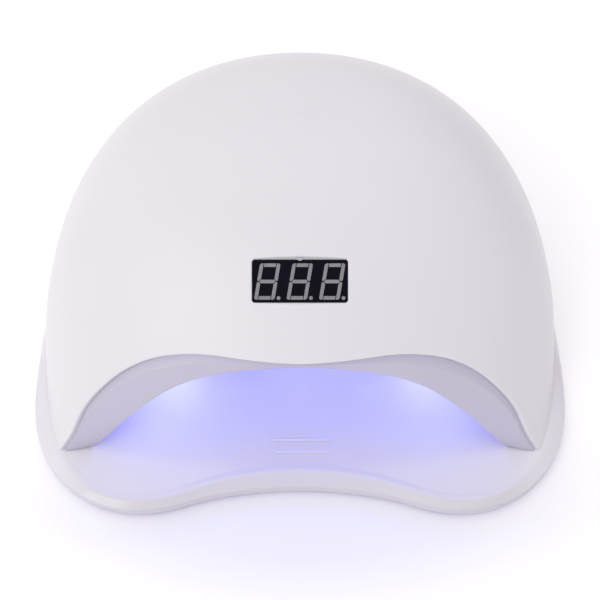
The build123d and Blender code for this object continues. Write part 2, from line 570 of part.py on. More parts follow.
top = Solid.make_loft([outline_wire(outer_pts, PART_LINE + PART_GAP), outline_wire(outer_pts, RIM_Z)], True)
top = top.fuse(Solid.make_loft([outline_wire(outer_pts, RIM_Z), outline_wire(ridge_pts, RIDGE_Z)], True))
top = top.cut(slab(inset(ridge_pts, 1.3), FLOOR_Z, 9.0), slab(inset(outer_pts, 4.0), 4.0, FLOOR_UNDER),
              slab(inset(outer_pts, 2.6), 4.0, PART_LINE + PART_GAP + 0.01))
tongue = slab(inset(outer_pts, 2.6), 3.2, PART_LINE + PART_GAP + 0.3) - slab(inset(outer_pts, 4.0), 3.0, FLOOR_UNDER)
adds = solids_of(tongue)
adds += [cyl(sx * x, y, PAN_FLOOR, FLOOR_UNDER + 0.5, 3.2) for x, y in TRAY_SCREWS for sx in (-1, 1)]
for x, y in MAGNETS:
    for sx in (-1, 1):
        adds.append(cyl(sx * x, y, 3.4, FLOOR_UNDER + 0.5, 7.4))
for x0, x1, yy, hgt in RIBS:
    adds.append(box(x0, x1, yy - 0.45, yy + 0.45, FLOOR_Z - 0.3, FLOOR_Z + hgt))
top = top.fuse(*adds)
top = top.cut(*([cyl(sx * x, y, 2.0, 6.6, 1.25) for x, y in TRAY_SCREWS for sx in (-1, 1)]
                + [cyl(sx * x, y, 3.0, FLOOR_UNDER, 6.1) for x, y in MAGNETS for sx in (-1, 1)]))
put("tray_top", top)

pan = slab(outer_pts, PAN_Z0, PART_LINE).cut(slab(inset(outer_pts, 2.3), PAN_FLOOR, PART_LINE + 1))
pan = pan.cut(*([cyl(sx * x, y, 0.0, 4.0, 1.5) for x, y in TRAY_SCREWS for sx in (-1, 1)]
                + [cyl(sx * x, y, 0.0, 1.9, 3.0) for x, y in TRAY_SCREWS for sx in (-1, 1)]
                + [cyl(sx * x, y, 0.0, 1.4, FEET_R + 0.1) for x, y in FEET for sx in (-1, 1)]))
put("tray_bottom", pan)
put("tray_screws", [screw(Vector(sx * x, y, 1.9), Vector(0, 0, 1), 0.0, 1.0, 2.7, 1.2, 4.4) for x, y in TRAY_SCREWS for sx in (-1, 1)])
put("tray_magnets", [cyl(sx * x, y, 3.1, FLOOR_UNDER, 6.0) for x, y in MAGNETS for sx in (-1, 1)])
put("rubber_feet", [fillet([e for e in cyl(sx * x, y, 0.0, 1.4, FEET_R).edges() if e.center().Z < 0.01 and e.length > 20], 0.3)
                    for x, y in FEET for sx in (-1, 1)])

whole = Compound(children=[c for n, c in NODES.items() if n in ("tray_top", "tray_bottom", "rubber_feet", "outer_shell")])
bb = whole.bounding_box()
print("box", [round(v, 2) for v in (bb.min.X, bb.min.Y, bb.min.Z, bb.max.X, bb.max.Y, bb.max.Z)])
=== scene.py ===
import json
import math

import bmesh
import bpy
import numpy as np
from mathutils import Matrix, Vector
from mathutils.geometry import delaunay_2d_cdt


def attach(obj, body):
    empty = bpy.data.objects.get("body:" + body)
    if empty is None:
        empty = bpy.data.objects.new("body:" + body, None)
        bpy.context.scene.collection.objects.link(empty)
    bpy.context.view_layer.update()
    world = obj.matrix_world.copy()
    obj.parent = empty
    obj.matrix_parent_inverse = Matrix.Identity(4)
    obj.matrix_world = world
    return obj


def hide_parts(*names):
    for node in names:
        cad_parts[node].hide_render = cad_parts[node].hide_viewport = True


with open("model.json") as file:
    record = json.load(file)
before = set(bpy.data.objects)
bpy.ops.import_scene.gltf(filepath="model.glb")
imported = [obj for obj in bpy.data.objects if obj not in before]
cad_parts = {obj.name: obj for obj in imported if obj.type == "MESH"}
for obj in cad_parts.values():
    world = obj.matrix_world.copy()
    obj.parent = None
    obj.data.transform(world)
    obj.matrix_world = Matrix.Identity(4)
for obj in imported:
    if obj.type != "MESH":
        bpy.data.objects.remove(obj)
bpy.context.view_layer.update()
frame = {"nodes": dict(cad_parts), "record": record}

# ---------------------------------------------------------------------------
# Looks of a domed LED nail lamp on a removable tray.  Geometry is worked out
# in millimetres in the object's own frame and made in metres.
# ---------------------------------------------------------------------------
MM = 0.001
NODES = frame["nodes"]

# ---- camera ------------------------------------------------------------------
cam_data = bpy.data.cameras.new("camera")
cam_data.sensor_width = 36.0
cam_data.lens = 59.46
cam_data.clip_start = 0.01
cam_data.clip_end = 20.0
camera = bpy.data.objects.new("camera", cam_data)
camera.location = (0.0, -0.26522, 0.3889)
camera.rotation_euler = (math.radians(35.0), 0.0, 0.0)
bpy.context.scene.collection.objects.link(camera)
bpy.context.scene.camera = camera

bpy.context.scene.view_settings.view_transform = "Standard"
bpy.context.scene.view_settings.look = "None"


# ---- small numeric helpers -----------------------------------------------------
def cubic(points, closed=False):
    """Interpolating cubic spline through points, by chord length. Returns a function of t in 0..1."""
    p = np.array(points, float)
    if closed:
        p = np.vstack([p, p[:1]])
    h = np.linalg.norm(np.diff(p, axis=0), axis=1)
    t = np.concatenate([[0], np.cumsum(h)])
    n = len(p)
    a = np.zeros((n, n))
    b = np.zeros((n, p.shape[1]))
    for i in range(1, n - 1):
        a[i, i - 1], a[i, i], a[i, i + 1] = h[i - 1], 2 * (h[i - 1] + h[i]), h[i]
        b[i] = 6 * ((p[i + 1] - p[i]) / h[i] - (p[i] - p[i - 1]) / h[i - 1])
    if closed:
        a[0, 0], a[0, 1], a[0, n - 2] = 2 * (h[0] + h[-1]), h[0], h[-1]
        b[0] = 6 * ((p[1] - p[0]) / h[0] - (p[0] - p[n - 2]) / h[-1])
        a[n - 1, 0], a[n - 1, n - 1] = 1, -1
    else:
        a[0, 0] = a[n - 1, n - 1] = 1
    m = np.linalg.solve(a, b)

    def f(s):
        s = np.atleast_1d(np.asarray(s, float)) * t[-1]
        i = np.clip(np.searchsorted(t, s, side="right") - 1, 0, n - 2)
        d0, d1, hh = (s - t[i])[:, None], (t[i + 1] - s)[:, None], h[i][:, None]
        return (m[i] * d1 ** 3 + m[i + 1] * d0 ** 3) / (6 * hh) + (p[i] / hh - m[i] * hh / 6) * d1 + (p[i + 1] / hh - m[i + 1] * hh / 6) * d0

    return f


def even(f, n, closed=False):
    """n points at even spacing along the curve f."""
    fine = f(np.linspace(0, 1, 4001))
    s = np.concatenate([[0], np.cumsum(np.linalg.norm(np.diff(fine, axis=0), axis=1))])
    want = np.linspace(0, s[-1], n + 1)[:-1] if closed else np.linspace(0, s[-1], n)
    return np.stack([np.interp(want, s, fine[:, k]) for k in range(fine.shape[1])], 1)


def unit(v):
    return v / np.maximum(np.linalg.norm(v, axis=-1, keepdims=True), 1e-12)


def smoothstep(a, b, x):
    t = np.clip((x - a) / (b - a), 0, 1)
    return t * t * (3 - 2 * t)


# ---- mesh building ----------------------------------------------------------------
class Builder:
    """Collects vertices and faces in millimetres, with a wanted normal where one is known."""

    def __init__(self):
        self.v, self.f, self.nrm, self.mat = [], [], [], []
        self.count = 0

    def add(self, pts, normals=None):
        pts = np.asarray(pts, float).reshape(-1, 3)
        ids = np.arange(self.count, self.count + len(pts))
        self.v.append(pts)
        self.nrm.append(np.full((len(pts), 3), np.nan) if normals is None else np.asarray(normals, float).reshape(-1, 3))
        self.count += len(pts)
        return ids

    def faces(self, fs, mat=0):
        for q in fs:
            self.f.append(tuple(int(i) for i in q))
            self.mat.append(mat)

    def strip(self, a, b, closed=True, mat=0):
        n = len(a)
        last = n if closed else n - 1
        for i in range(last):
            j = (i + 1) % n
            self.f.append((int(a[i]), int(a[j]), int(b[j]), int(b[i])))
            self.mat.append(mat)

    def make(self, name, materials, angle=35.0):
        v = np.vstack(self.v)
        nrm = np.vstack(self.nrm)
        me = bpy.data.meshes.new(name)
        me.from_pydata((v * MM).tolist(), [], self.f)
        me.polygons.foreach_set("use_smooth", np.ones(len(me.polygons), bool))
        me.polygons.foreach_set("material_index", np.array(self.mat, np.int32))
        for m in materials:
            me.materials.append(m)
        bm = bmesh.new()
        bm.from_mesh(me)
        bmesh.ops.recalc_face_normals(bm, faces=bm.faces[:])
        bm.to_mesh(me)
        bm.free()
        me.update()
        me.set_sharp_from_angle(angle=math.radians(angle))
        known = ~np.isnan(nrm[:, 0])
        if known.any():
            cn = np.zeros(len(me.loops) * 3, np.float32)
            me.corner_normals.foreach_get("vector", cn)
            cn = cn.reshape(-1, 3).astype(float)
            vi = np.zeros(len(me.loops), np.int32)
            me.loops.foreach_get("vertex_index", vi)
            want = nrm[vi]
            use = known[vi]
            agree = np.einsum("ij,ij->i", np.nan_to_num(want), cn) > 0.80
            use &= agree
            cn[use] = want[use]
            me.normals_split_custom_set([tuple(x) for x in unit(cn)])
        ob = bpy.data.objects.new(name, me)
        bpy.context.scene.collection.objects.link(ob)
        return ob


def fill(loops, inner_points):
    """Triangles of the plane region inside loops[0] and outside the other loops, with extra points inside."""
    co, edges = [], []
    for lp in loops:
        k = len(co)
        co += [Vector((float(x), float(y))) for x, y in lp]
        edges += [(k + i, k + (i + 1) % len(lp)) for i in range(len(lp))]
    nb = len(co)
    co += [Vector((float(x), float(y))) for x, y in inner_points]
    vs, es, fs, ov, oe, of_ = delaunay_2d_cdt(co, edges, [], 1, 1e-7)
    back = [o[0] if o else -1 for o in ov]
    tris = np.array([[back[i] for i in f] for f in fs])
    xy = np.array([(c.x, c.y) for c in co])
    mid = xy[tris].mean(1)
    ok = (tris >= 0).all(1) & inside(mid, loops[0])
    for lp in loops[1:]:
        lp = np.asarray(lp, float)
        near = np.all((mid > lp.min(0)) & (mid < lp.max(0)), axis=1)
        if near.any():
            ok[np.where(near)[0][inside(mid[near], lp)]] = False
    return [list(t) for t in tris[ok]], nb


def inside(points, loop):
    """Which points lie inside the closed polyline loop."""
    p = np.asarray(points, float)
    l0 = np.asarray(loop, float)
    l1 = np.roll(l0, -1, 0)
    ok = np.zeros(len(p), bool)
    for a, b in zip(l0, l1):
        cross = (a[1] > p[:, 1]) != (b[1] > p[:, 1])
        if cross.any():
            xi = (b[0] - a[0]) * (p[:, 1] - a[1]) / (b[1] - a[1] + 1e-30) + a[0]
            ok ^= cross & (p[:, 0] < xi)
    return ok


def away(points, loop):
    """Distance of each point from the closed polyline."""
    p = np.asarray(points, float)
    l0 = np.asarray(loop, float)
    l1 = np.roll(l0, -1, 0)
    best = np.full(len(p), 1e9)
    for a, b in zip(l0, l1):
        d = b - a
        t = np.clip(((p - a) @ d) / max(d @ d, 1e-18), 0, 1)
        best = np.minimum(best, np.linalg.norm(p - a - t[:, None] * d, axis=1))
    return best


# ---- the dome's outer skin ------------------------------------------------------------
SK = dict(a=115.039, yw0=-9.458, ya=27.723, e=1.926, Lf=171.419, Lb=70.987, mf=0.55, kf=2.0,
          ms=1.773, ks=3.161, mb=4.259, kb=2.844, nf0=1.998, nf1=1.95, nb0=2.599, nb1=1.984)
Z0, TOP, BASE_Z, WALL = 7.5, 100.0, 8.0, 2.2


def level(z):
    t = np.clip((np.asarray(z, float) - Z0) / (TOP - Z0), 0, 0.999999)
    A = SK["a"] * (1 - t ** SK["ms"]) ** (1 / SK["ks"])
    yF = SK["ya"] - SK["Lf"] * (1 - t ** SK["mf"]) ** (1 / SK["kf"])
    yB = SK["ya"] + SK["Lb"] * (1 - t ** SK["mb"]) ** (1 / SK["kb"])
    yw = SK["yw0"] + (SK["ya"] - SK["yw0"]) * t ** SK["e"]
    return A, yF, yB, yw, SK["nf0"] + (SK["nf1"] - SK["nf0"]) * t + 0.22 * (1 - t) ** 4, SK["nb0"] + (SK["nb1"] - SK["nb0"]) * t


def skin(phi, z):
    A, yF, yB, yw, nf, nb = level(z)
    c, s = np.cos(phi), np.sin(phi)
    back = s >= 0
    n = np.where(back, nb, nf)
    B = np.where(back, yB - yw, yw - yF)
    x = A * np.sign(c) * np.abs(c) ** (2 / n)
    y = yw + B * np.sign(s) * np.abs(s) ** (2 / n)
    return np.stack([x, y, np.broadcast_to(z, x.shape)], -1)


def implicit(p):
    A, yF, yB, yw, nf, nb = level(p[:, 2])
    back = p[:, 1] >= yw
    n = np.where(back, nb, nf)
    B = np.where(back, yB - yw, yw - yF)
    return (np.abs(p[:, 0]) / A) ** n + (np.abs(p[:, 1] - yw) / B) ** n - 1


def skin_normal(p, h=0.02):
    p = np.asarray(p, float).reshape(-1, 3).copy()
    p[:, 2] = np.minimum(p[:, 2], 99.93)
    g = np.zeros_like(p)
    for k in range(3):
        d = np.zeros(3)
        d[k] = h
        g[:, k] = implicit(p + d) - implicit(p - d)
    return unit(g)


# side profile by arc length: w = 0 at the top, 1 at the base
_z = TOP - (TOP - 7.0) * np.linspace(0, 1, 6001) ** 2.4
_prof = np.stack([level(_z)[0], _z], 1)
_s = np.concatenate([[0], np.cumsum(np.linalg.norm(np.diff(_prof, axis=0), axis=1))])
W_LEN = float(np.interp(-BASE_Z, -_z, _s))


def w_of(z):
    return np.interp(-np.asarray(z, float), -_z, _s) / W_LEN


def z_of(w):
    return np.interp(np.asarray(w, float) * W_LEN, _s, _z)


def chart(p):
    """Place of a skin point in the flat chart used to mesh it."""
    p = np.asarray(p, float).reshape(-1, 3)
    A, yF, yB, yw, nf, nb = level(p[:, 2])
    back = p[:, 1] >= yw
    n = np.where(back, nb, nf)
    B = np.where(back, yB - yw, yw - yF)
    c = np.sign(p[:, 0]) * (np.abs(p[:, 0]) / A) ** (n / 2)
    s = np.sign(p[:, 1] - yw) * (np.abs(p[:, 1] - yw) / B) ** (n / 2)
    ph = np.arctan2(s, c)
    r = w_of(p[:, 2]) * W_LEN
    return np.stack([r * np.cos(ph), r * np.sin(ph)], 1)


def unchart(q):
    q = np.asarray(q, float).reshape(-1, 2)
    r = np.hypot(q[:, 0], q[:, 1])
    return skin(np.arctan2(q[:, 1], q[:, 0]), z_of(r / W_LEN))


def onto_skin(p, d, steps=30):
    """Slides points along d until they are on the skin."""
    p = np.asarray(p, float).reshape(-1, 3).copy()
    d = np.broadcast_to(np.asarray(d, float), p.shape)
    for _ in range(steps):
        f0 = implicit(p)
        f1 = implicit(p + 1e-3 * d)
        g = (f1 - f0) / 1e-3
        step = np.clip(-f0 / np.where(np.abs(g) < 1e-9, 1e-9, g), -4, 4)
        p = p + step[:, None] * d
    return p


# ---- front arch -------------------------------------------------------------------------
ARCH_OUT = [(0, 57.6), (8, 57.7), (23.7, 57.82), (35.6, 57.53), (43.61, 56.55), (47.61, 55.76), (55.83, 53.48),
            (64.26, 49.82), (73.03, 44.27), (82.37, 35.95), (90.5, 26.04), (96.4, 15.8), (101.81, 8.0), (106.5, 1.5)]


def both(pts):
    return [(-q[0],) + tuple(q[1:]) for q in reversed(pts) if q[0] > 0.01] + [tuple(q) for q in pts]


def arch_edge():
    """Closed edge of the shell on the skin: the arch, then the base rim, with a small radius at each foot."""
    f = cubic(both(ARCH_OUT))
    xz = f(np.linspace(0, 1, 6001))
    xz = xz[xz[:, 1] >= BASE_Z]
    A, yF, yB, yw, nf, nb = level(xz[:, 1])
    y = yw - (yw - yF) * np.maximum(1 - (np.abs(xz[:, 0]) / A) ** nf, 0) ** (1 / nf)
    arch = np.stack([xz[:, 0], y, xz[:, 1]], 1)
    q0, q1 = chart(arch[:1])[0], chart(arch[-1:])[0]
    a1 = math.atan2(q1[1], q1[0])
    a0 = math.atan2(q0[1], q0[0]) + 2 * math.pi
    ph = np.linspace(a1, a0, 4001)[1:-1]
    rim = skin(ph, np.full(len(ph), BASE_Z))
    loop = np.vstack([arch, rim])
    s = np.concatenate([[0], np.cumsum(np.linalg.norm(np.diff(np.vstack([loop, loop[:1]]), axis=0), axis=1))])
    n = 1600
    want = np.linspace(0, s[-1], n + 1)[:-1]
    full = np.vstack([loop, loop[:1]])
    pts = np.stack([np.interp(want, s, full[:, k]) for k in range(3)], 1)
    # round the two feet
    foot = np.minimum(np.linalg.norm(pts - arch[0], axis=1), np.linalg.norm(pts - arch[-1], axis=1))
    wgt = (1 - smoothstep(2.0, 4.5, foot))[:, None]
    q = pts.copy()
    for _ in range(14):
        q = q * (1 - wgt) + wgt * (np.roll(q, 1, 0) + np.roll(q, -1, 0) + 2 * q) / 4
    q = onto_skin(q, unit(np.stack([q[:, 0], q[:, 1] - 10, np.zeros(len(q))], 1)), 12)
    # thin out: every second point, kept dense at the feet
    keep = (np.arange(n) % 3 == 0) | (foot < 5.0)
    return q[keep]


def frame_of(loop, normals, hole=False):
    """Unit direction in the skin, square to the loop, that points out of the material."""
    t = unit(np.roll(loop, -1, 0) - np.roll(loop, 1, 0))
    side = unit(np.cross(t, normals))
    return side


def signed_area(q):
    q = np.asarray(q)
    return 0.5 * np.sum(q[:, 0] * np.roll(q[:, 1], -1) - np.roll(q[:, 0], -1) * q[:, 1])


def ring(n, r, cx=0.0, cz=0.0):
    a = np.linspace(0, 2 * np.pi, n + 1)[:-1]
    return np.stack([cx + r * np.cos(a), cz + r * np.sin(a)], 1)


def stadium(hw, hh, cx=0.0, cz=0.0, n=20, vertical=False):
    """Slot outline with round ends."""
    a = np.linspace(-np.pi / 2, np.pi / 2, n)
    k = max(int((hw - hh) / 1.6), 2)
    flat = np.linspace(-(hw - hh), hw - hh, k + 2)[1:-1]
    right = np.stack([hw - hh + hh * np.cos(a), hh * np.sin(a)], 1)
    top = np.stack([flat[::-1], np.full(k, hh)], 1)
    left = np.stack([-(hw - hh) - hh * np.cos(a), -hh * np.sin(a)], 1)
    bot = np.stack([flat, np.full(k, -hh)], 1)
    p = np.vstack([right, top, left, bot])
    if vertical:
        p = np.stack([-p[:, 1], p[:, 0]], 1)
    return p + (cx, cz)


def rounded_rect(w, h, r, n=7, step=1.6):
    pts = []
    for k, (sx, sy) in enumerate(((1, -1), (1, 1), (-1, 1), (-1, -1))):
        a = np.linspace(0, np.pi / 2, n) + (k - 1) * np.pi / 2
        c = np.array([sx * (w / 2 - r), sy * (h / 2 - r)])
        pts.append(np.stack([c[0] + r * np.cos(a), c[1] + r * np.sin(a)], 1))
    out = []
    for k in range(4):
        out.append(pts[k])
        a, b = pts[k][-1], pts[(k + 1) % 4][0]
        m = int(np.linalg.norm(b - a) / step)
        if m > 1:
            out.append(a + (b - a) * (np.arange(1, m) / m)[:, None])
    return np.vstack(out)


FOOT_PT = np.array([101.6, -76.7, 8.3])
DISP_C = np.array([0.0, -37.75, 76.9])
DT = math.radians(35.0)
DN = np.array([0.0, -math.sin(DT), math.cos(DT)])
DU = np.array([0.0, math.cos(DT), math.sin(DT)])
BTN_X, BTN_Z, PANEL_Y = (-25.5, -8.5, 8.5, 25.5), 60.0, 92.6
JACK_Z = 22.0
BTN_FACE = 95.0


def back_loop(xz, y0=96.0):
    """Elevation outline pushed along Y onto the skin at the back."""
    p = np.stack([xz[:, 0], np.full(len(xz), y0), xz[:, 1]], 1)
    return onto_skin(p, (0, 1, 0), 40)


def make_shell(materials):
    b = Builder()
    outer = arch_edge()
    loops = [("edge", outer, 0.85)]
    rr = rounded_rect(37.7, 16.9, 1.2, 9, 0.9)
    disp = DISP_C + rr[:, :1] * np.array([1.0, 0, 0]) + rr[:, 1:] * DU
    loops.append(("display", onto_skin(disp, DN), 0.30))
    loops.append(("panel", back_loop(stadium(33.5, 8.5, 0, BTN_Z)), 0.8))
    loops.append(("jack", back_loop(ring(40, 5.75, 0, JACK_Z)), 0.2))
    for sx in (-1, 1):
        for k in range(5):
            loops.append(("vent", back_loop(stadium(7.5, 1.1, sx * (30.0 + 5.2 * k), 22.0, 9, True)), 0.35))
    first = []          # loops on the skin, pulled back by the edge radius
    dirs = []
    for i, (kind, p, rho) in enumerate(loops):
        q = chart(p)
        ccw = signed_area(q) > 0
        if (i == 0) != ccw:
            p = p[::-1]
        nn = skin_normal(p)
        side = frame_of(p, nn)
        loops[i] = (kind, p, rho)
        if kind == "edge":
            foot = np.minimum(np.linalg.norm(p - FOOT_PT, axis=1), np.linalg.norm(p - FOOT_PT * (-1, 1, 1), axis=1))
            on_rim = smoothstep(BASE_Z + 0.8, BASE_Z + 0.1, p[:, 2])
            rho = ((0.58 - 0.16 * on_rim) * smoothstep(0.0, 5.0, foot) + 0.28 * (1 - smoothstep(0.0, 5.0, foot)))[:, None]
        if kind == "display":
            # the flat window sits deepest below the skin in the middle, so its soft lip is widest there
            rho = (0.42 + 0.83 * np.maximum(1 - (p[:, 0] / 19.0) ** 2, 0.0))[:, None]
        loops[i] = (kind, p, rho)
        first.append(p - side * rho)
        dirs.append((side, nn))
    flat = [chart(p) for p in first]
    # inner points on a fine triangular grid in the chart
    step = 1.55
    R = W_LEN + 2
    gx, gy = np.meshgrid(np.arange(-R, R, step), np.arange(-R, R, step * 0.866))
    gx = gx + (np.arange(gx.shape[0])[:, None] % 2) * step / 2
    g = np.stack([gx.ravel(), gy.ravel()], 1)
    g = g[np.hypot(g[:, 0], g[:, 1]) < W_LEN + 1]
    ok = inside(g, flat[0]) & (away(g, flat[0]) > 0.75)
    for q in flat[1:]:
        lo, hi = q.min(0) - 1.5, q.max(0) + 1.5
        near = np.all((g > lo) & (g < hi), axis=1)
        if near.any():
            bad = inside(g[near], q) | (away(g[near], q) < 0.7)
            idx = np.where(near)[0][bad]
            ok[idx] = False
    g = g[ok]
    tris, nb = fill(flat, g)
    pts = np.vstack(first + [unchart(g)])
    nrm = skin_normal(pts)
    ids = b.add(pts, nrm)
    inner_ids = b.add(pts - nrm * WALL, -nrm)
    co = np.vstack(flat + [g])
    for t in tris:
        a, c, d = co[t[0]], co[t[1]], co[t[2]]
        cw = (c[0] - a[0]) * (d[1] - a[1]) - (c[1] - a[1]) * (d[0] - a[0]) < 0
        t = t[::-1] if cw else t
        b.faces([[ids[k] for k in t]])
        b.faces([[inner_ids[k] for k in t[::-1]]])
    # edges of the sheet
    k0 = 0
    for (kind, p, rho), (side, nn) in zip(loops, dirs):
        n = len(p)
        top_ids, low_ids = ids[k0:k0 + n], inner_ids[k0:k0 + n]
        k0 += n
        rows = [top_ids]
        base = p - side * rho
        for a in np.linspace(0, np.pi / 2, 7)[1:]:
            nd = np.cos(a) * nn + np.sin(a) * side
            rows.append(b.add(base - nn * rho + rho * nd, nd))
        if kind == "panel":
            # straight pocket wall down to the flat panel, and the panel with its button holes
            r2 = 0.35
            wall = p.copy()
            mid = wall.copy()
            mid[:, 1] = PANEL_Y + r2
            rows.append(b.add(mid, -unit(np.stack([wall[:, 0] - np.clip(wall[:, 0], -25, 25), np.zeros(n), wall[:, 2] - BTN_Z], 1))))
            cen = np.stack([np.clip(wall[:, 0], -25, 25), np.full(n, 0.0), np.full(n, BTN_Z)], 1)
            out = wall - cen
            out[:, 1] = 0
            out = unit(out)
            for a in np.linspace(0, np.pi / 2, 4)[1:]:
                q = wall - out * (r2 * (1 - np.cos(a)))
                q[:, 1] = PANEL_Y + r2 - r2 * np.sin(a)
                rows.append(b.add(q))
            floor_loop = b.v[-1][:, [0, 2]]
            for r0, r1 in zip(rows, rows[1:]):
                b.strip(r0, r1)
            holes = [ring(36, 5.3, bx, BTN_Z) for bx in BTN_X]
            rim2 = [ring(36, 5.3 + 0.25, bx, BTN_Z) for bx in BTN_X]
            gx, gz = np.meshgrid(np.arange(-34, 34, 2.0), np.arange(51, 69, 2.0))
            gg = np.stack([gx.ravel(), gz.ravel()], 1)
            ok = inside(gg, floor_loop) & (away(gg, floor_loop) > 1.0)
            for h in rim2:
                ok &= ~inside(gg, h) & (away(gg, h) > 0.8)
            gg = gg[ok]
            tr, nb2 = fill([floor_loop] + rim2, gg)
            local = [rows[-1]]
            rim_ids = []
            for h in rim2:
                r_ids = b.add(np.stack([h[:, 0], np.full(len(h), PANEL_Y), h[:, 1]], 1))
                rim_ids.append(r_ids)
                local.append(r_ids)
            local.append(b.add(np.stack([gg[:, 0], np.full(len(gg), PANEL_Y), gg[:, 1]], 1)) if len(gg) else np.zeros(0, int))
            table = np.concatenate(local)
            co2 = np.vstack([floor_loop] + rim2 + [gg])
            for t in tr:
                a, c, d = co2[t[0]], co2[t[1]], co2[t[2]]
                cw = (c[0] - a[0]) * (d[1] - a[1]) - (c[1] - a[1]) * (d[0] - a[0]) < 0
                t = t if cw else t[::-1]      # the panel looks to +Y
                b.faces([[table[k] for k in t]])
            # back of the panel
            back = p + side * -2.0
            back[:, 1] = PANEL_Y - WALL
            back_ids = b.add(back)
            b.strip(back_ids, low_ids)
            tr2, _ = fill([back[:, [0, 2]]] + holes, [])
            hole_back = [b.add(np.stack([h[:, 0], np.full(len(h), PANEL_Y - WALL), h[:, 1]], 1)) for h in holes]
            table2 = np.concatenate([back_ids] + hole_back)
            co3 = np.vstack([back[:, [0, 2]]] + holes)
            for t in tr2:
                a, c, d = co3[t[0]], co3[t[1]], co3[t[2]]
                cw = (c[0] - a[0]) * (d[1] - a[1]) - (c[1] - a[1]) * (d[0] - a[0]) < 0
                t = t[::-1] if cw else t
                b.faces([[table2[k] for k in t]])
            for h, r_ids, hb in zip(holes, rim_ids, hole_back):
                m_ids = b.add(np.stack([h[:, 0], np.full(len(h), PANEL_Y - 0.25), h[:, 1]], 1))
                b.strip(m_ids, r_ids)
                b.strip(hb, m_ids)
            continue
        r2 = 0.3 if kind == "edge" else 0.2
        depth = WALL
        rows.append(b.add(p - nn * (depth - r2), side))
        for a in np.linspace(0, np.pi / 2, 4)[1:-1]:
            rows.append(b.add(p - nn * (depth - r2) - side * (r2 * (1 - np.cos(a))) - nn * (r2 * np.sin(a))))
        last = p - nn * depth - side * r2
        rows.append(b.add(last))
        rows.append(low_ids)
        for r0, r1 in zip(rows, rows[1:]):
            b.strip(r0, r1)
    for v in b.v:      # the crown stays inside the CAD box
        v[:, 2] -= 0.16 * smoothstep(86.0, 100.0, v[:, 2])
    ob = b.make("outer_shell_moulding", materials, 40)
    return ob


# ---- tray -----------------------------------------------------------------------------------------
HALF_W, REAR_Y, WIDE_Y = 118.0, 102.45, -15.0
PAN_Z0, PAN_FLOOR, PART_LINE, PART_TOP, RIM_Z, RIDGE_Z, FLOOR_Z, FLOOR_UNDER = 0.8, 2.8, 4.7, 4.9, 5.5, 7.8, 7.5, 5.3
SKIN_REAR = SK["ya"] + SK["Lb"]
FRONT_OUT = [(0, -92.1), (8.6, -92.3), (17.1, -93.0), (25.4, -93.95), (33.8, -95.4), (42.1, -97.4), (50.3, -99.9),
             (58.5, -101.8), (66.7, -102.45), (75.1, -101.7), (83.7, -99.3), (92.7, -94.5), (99.7, -88.9),
             (106.3, -81.2), (111.1, -73.0), (114.2, -64.4), (116.4, -53.5), (117.6, -39.2), (118.0, -25.0)]
FRONT_RIDGE = [(0, -85.0), (8.4, -85.4), (16.9, -86.3), (25.3, -87.7), (33.5, -89.7), (41.7, -92.5), (49.8, -95.2),
               (56.0, -97.1), (62.8, -98.1), (69.8, -98.3), (76.8, -97.4), (82.8, -95.3), (88.0, -92.2),
               (92.3, -88.6), (96.8, -84.0), (100.6, -78.6), (104.9, -69.0), (108.7, -57.0), (112.1, -42.5),
               (114.4, -29.0)]
RIBS = ((-13.2, 1.0, -67.8, 0.2), (-13.2, 1.0, -69.4, 0.2), (-13.2, 12.8, -71.2, 0.45),
        (-10.0, 2.0, -73.4, 0.2), (-11.0, 12.3, -76.8, 0.45))
TRAY_SCREWS = ((70.0, -86.0), (100.0, 20.0), (52.0, 80.0))
FEET = ((92.0, -72.0), (84.0, 58.0))


def closed_outline(front, A, yw, B, n):
    ph = np.radians([2, 9, 18, 27, 36, 45, 54, 63, 72, 81])
    right = list(front) + [(A * math.cos(p) ** (2 / n), yw + B * math.sin(p) ** (2 / n)) for p in ph]
    return right + [(0.0, yw + B)] + [(-x, y) for x, y in reversed(right) if x > 0.01]


OUTER = even(cubic(closed_outline(FRONT_OUT, HALF_W, WIDE_Y, REAR_Y - WIDE_Y, 2.6), True), 520, True)
_ridge = even(cubic(closed_outline(FRONT_RIDGE, SK["a"] + 0.9, SK["yw0"], SKIN_REAR + 0.9 - SK["yw0"], 2.6), True), 5200, True)


def matched(outer, fine):
    """For each outer point the nearest point of the fine curve, evened out so that the rows don't bunch."""
    n, m = len(outer), len(fine)
    idx = np.array([int(np.argmin(np.sum((fine - p) ** 2, 1))) for p in outer], float)
    base = np.arange(n) * m / n
    off = (idx - base + m / 2) % m - m / 2
    k = 9
    ext = np.concatenate([off[-k:], off, off[:k]])
    off = np.convolve(ext, np.ones(2 * k + 1) / (2 * k + 1), "valid")
    t = (base + off) % m
    i = np.floor(t).astype(int)
    f = (t - i)[:, None]
    return fine[i % m] * (1 - f) + fine[(i + 1) % m] * f


RIDGE = matched(OUTER, _ridge)


def inward(loop, d):
    t = unit(np.roll(loop, -1, 0) - np.roll(loop, 1, 0))
    n = np.stack([-t[:, 1], t[:, 0]], 1)
    return loop + n * d


def at(loop, z):
    z = np.broadcast_to(np.asarray(z, float), (len(loop),))
    return np.stack([loop[:, 0], loop[:, 1], z], 1)


def grid_inside(loops, step, keep=0.45):
    lo, hi = loops[0].min(0), loops[0].max(0)
    gx, gy = np.meshgrid(np.arange(lo[0], hi[0], step), np.arange(lo[1], hi[1], step * 0.866))
    gx = gx + (np.arange(gx.shape[0])[:, None] % 2) * step / 2
    g = np.stack([gx.ravel(), gy.ravel()], 1)
    ok = inside(g, loops[0]) & (away(g, loops[0]) > step * keep)
    for q in loops[1:]:
        near = np.all((g > q.min(0) - step) & (g < q.max(0) + step), axis=1)
        if near.any():
            bad = inside(g[near], q) | (away(g[near], q) < step * keep)
            ok[np.where(near)[0][bad]] = False
    return g[ok]


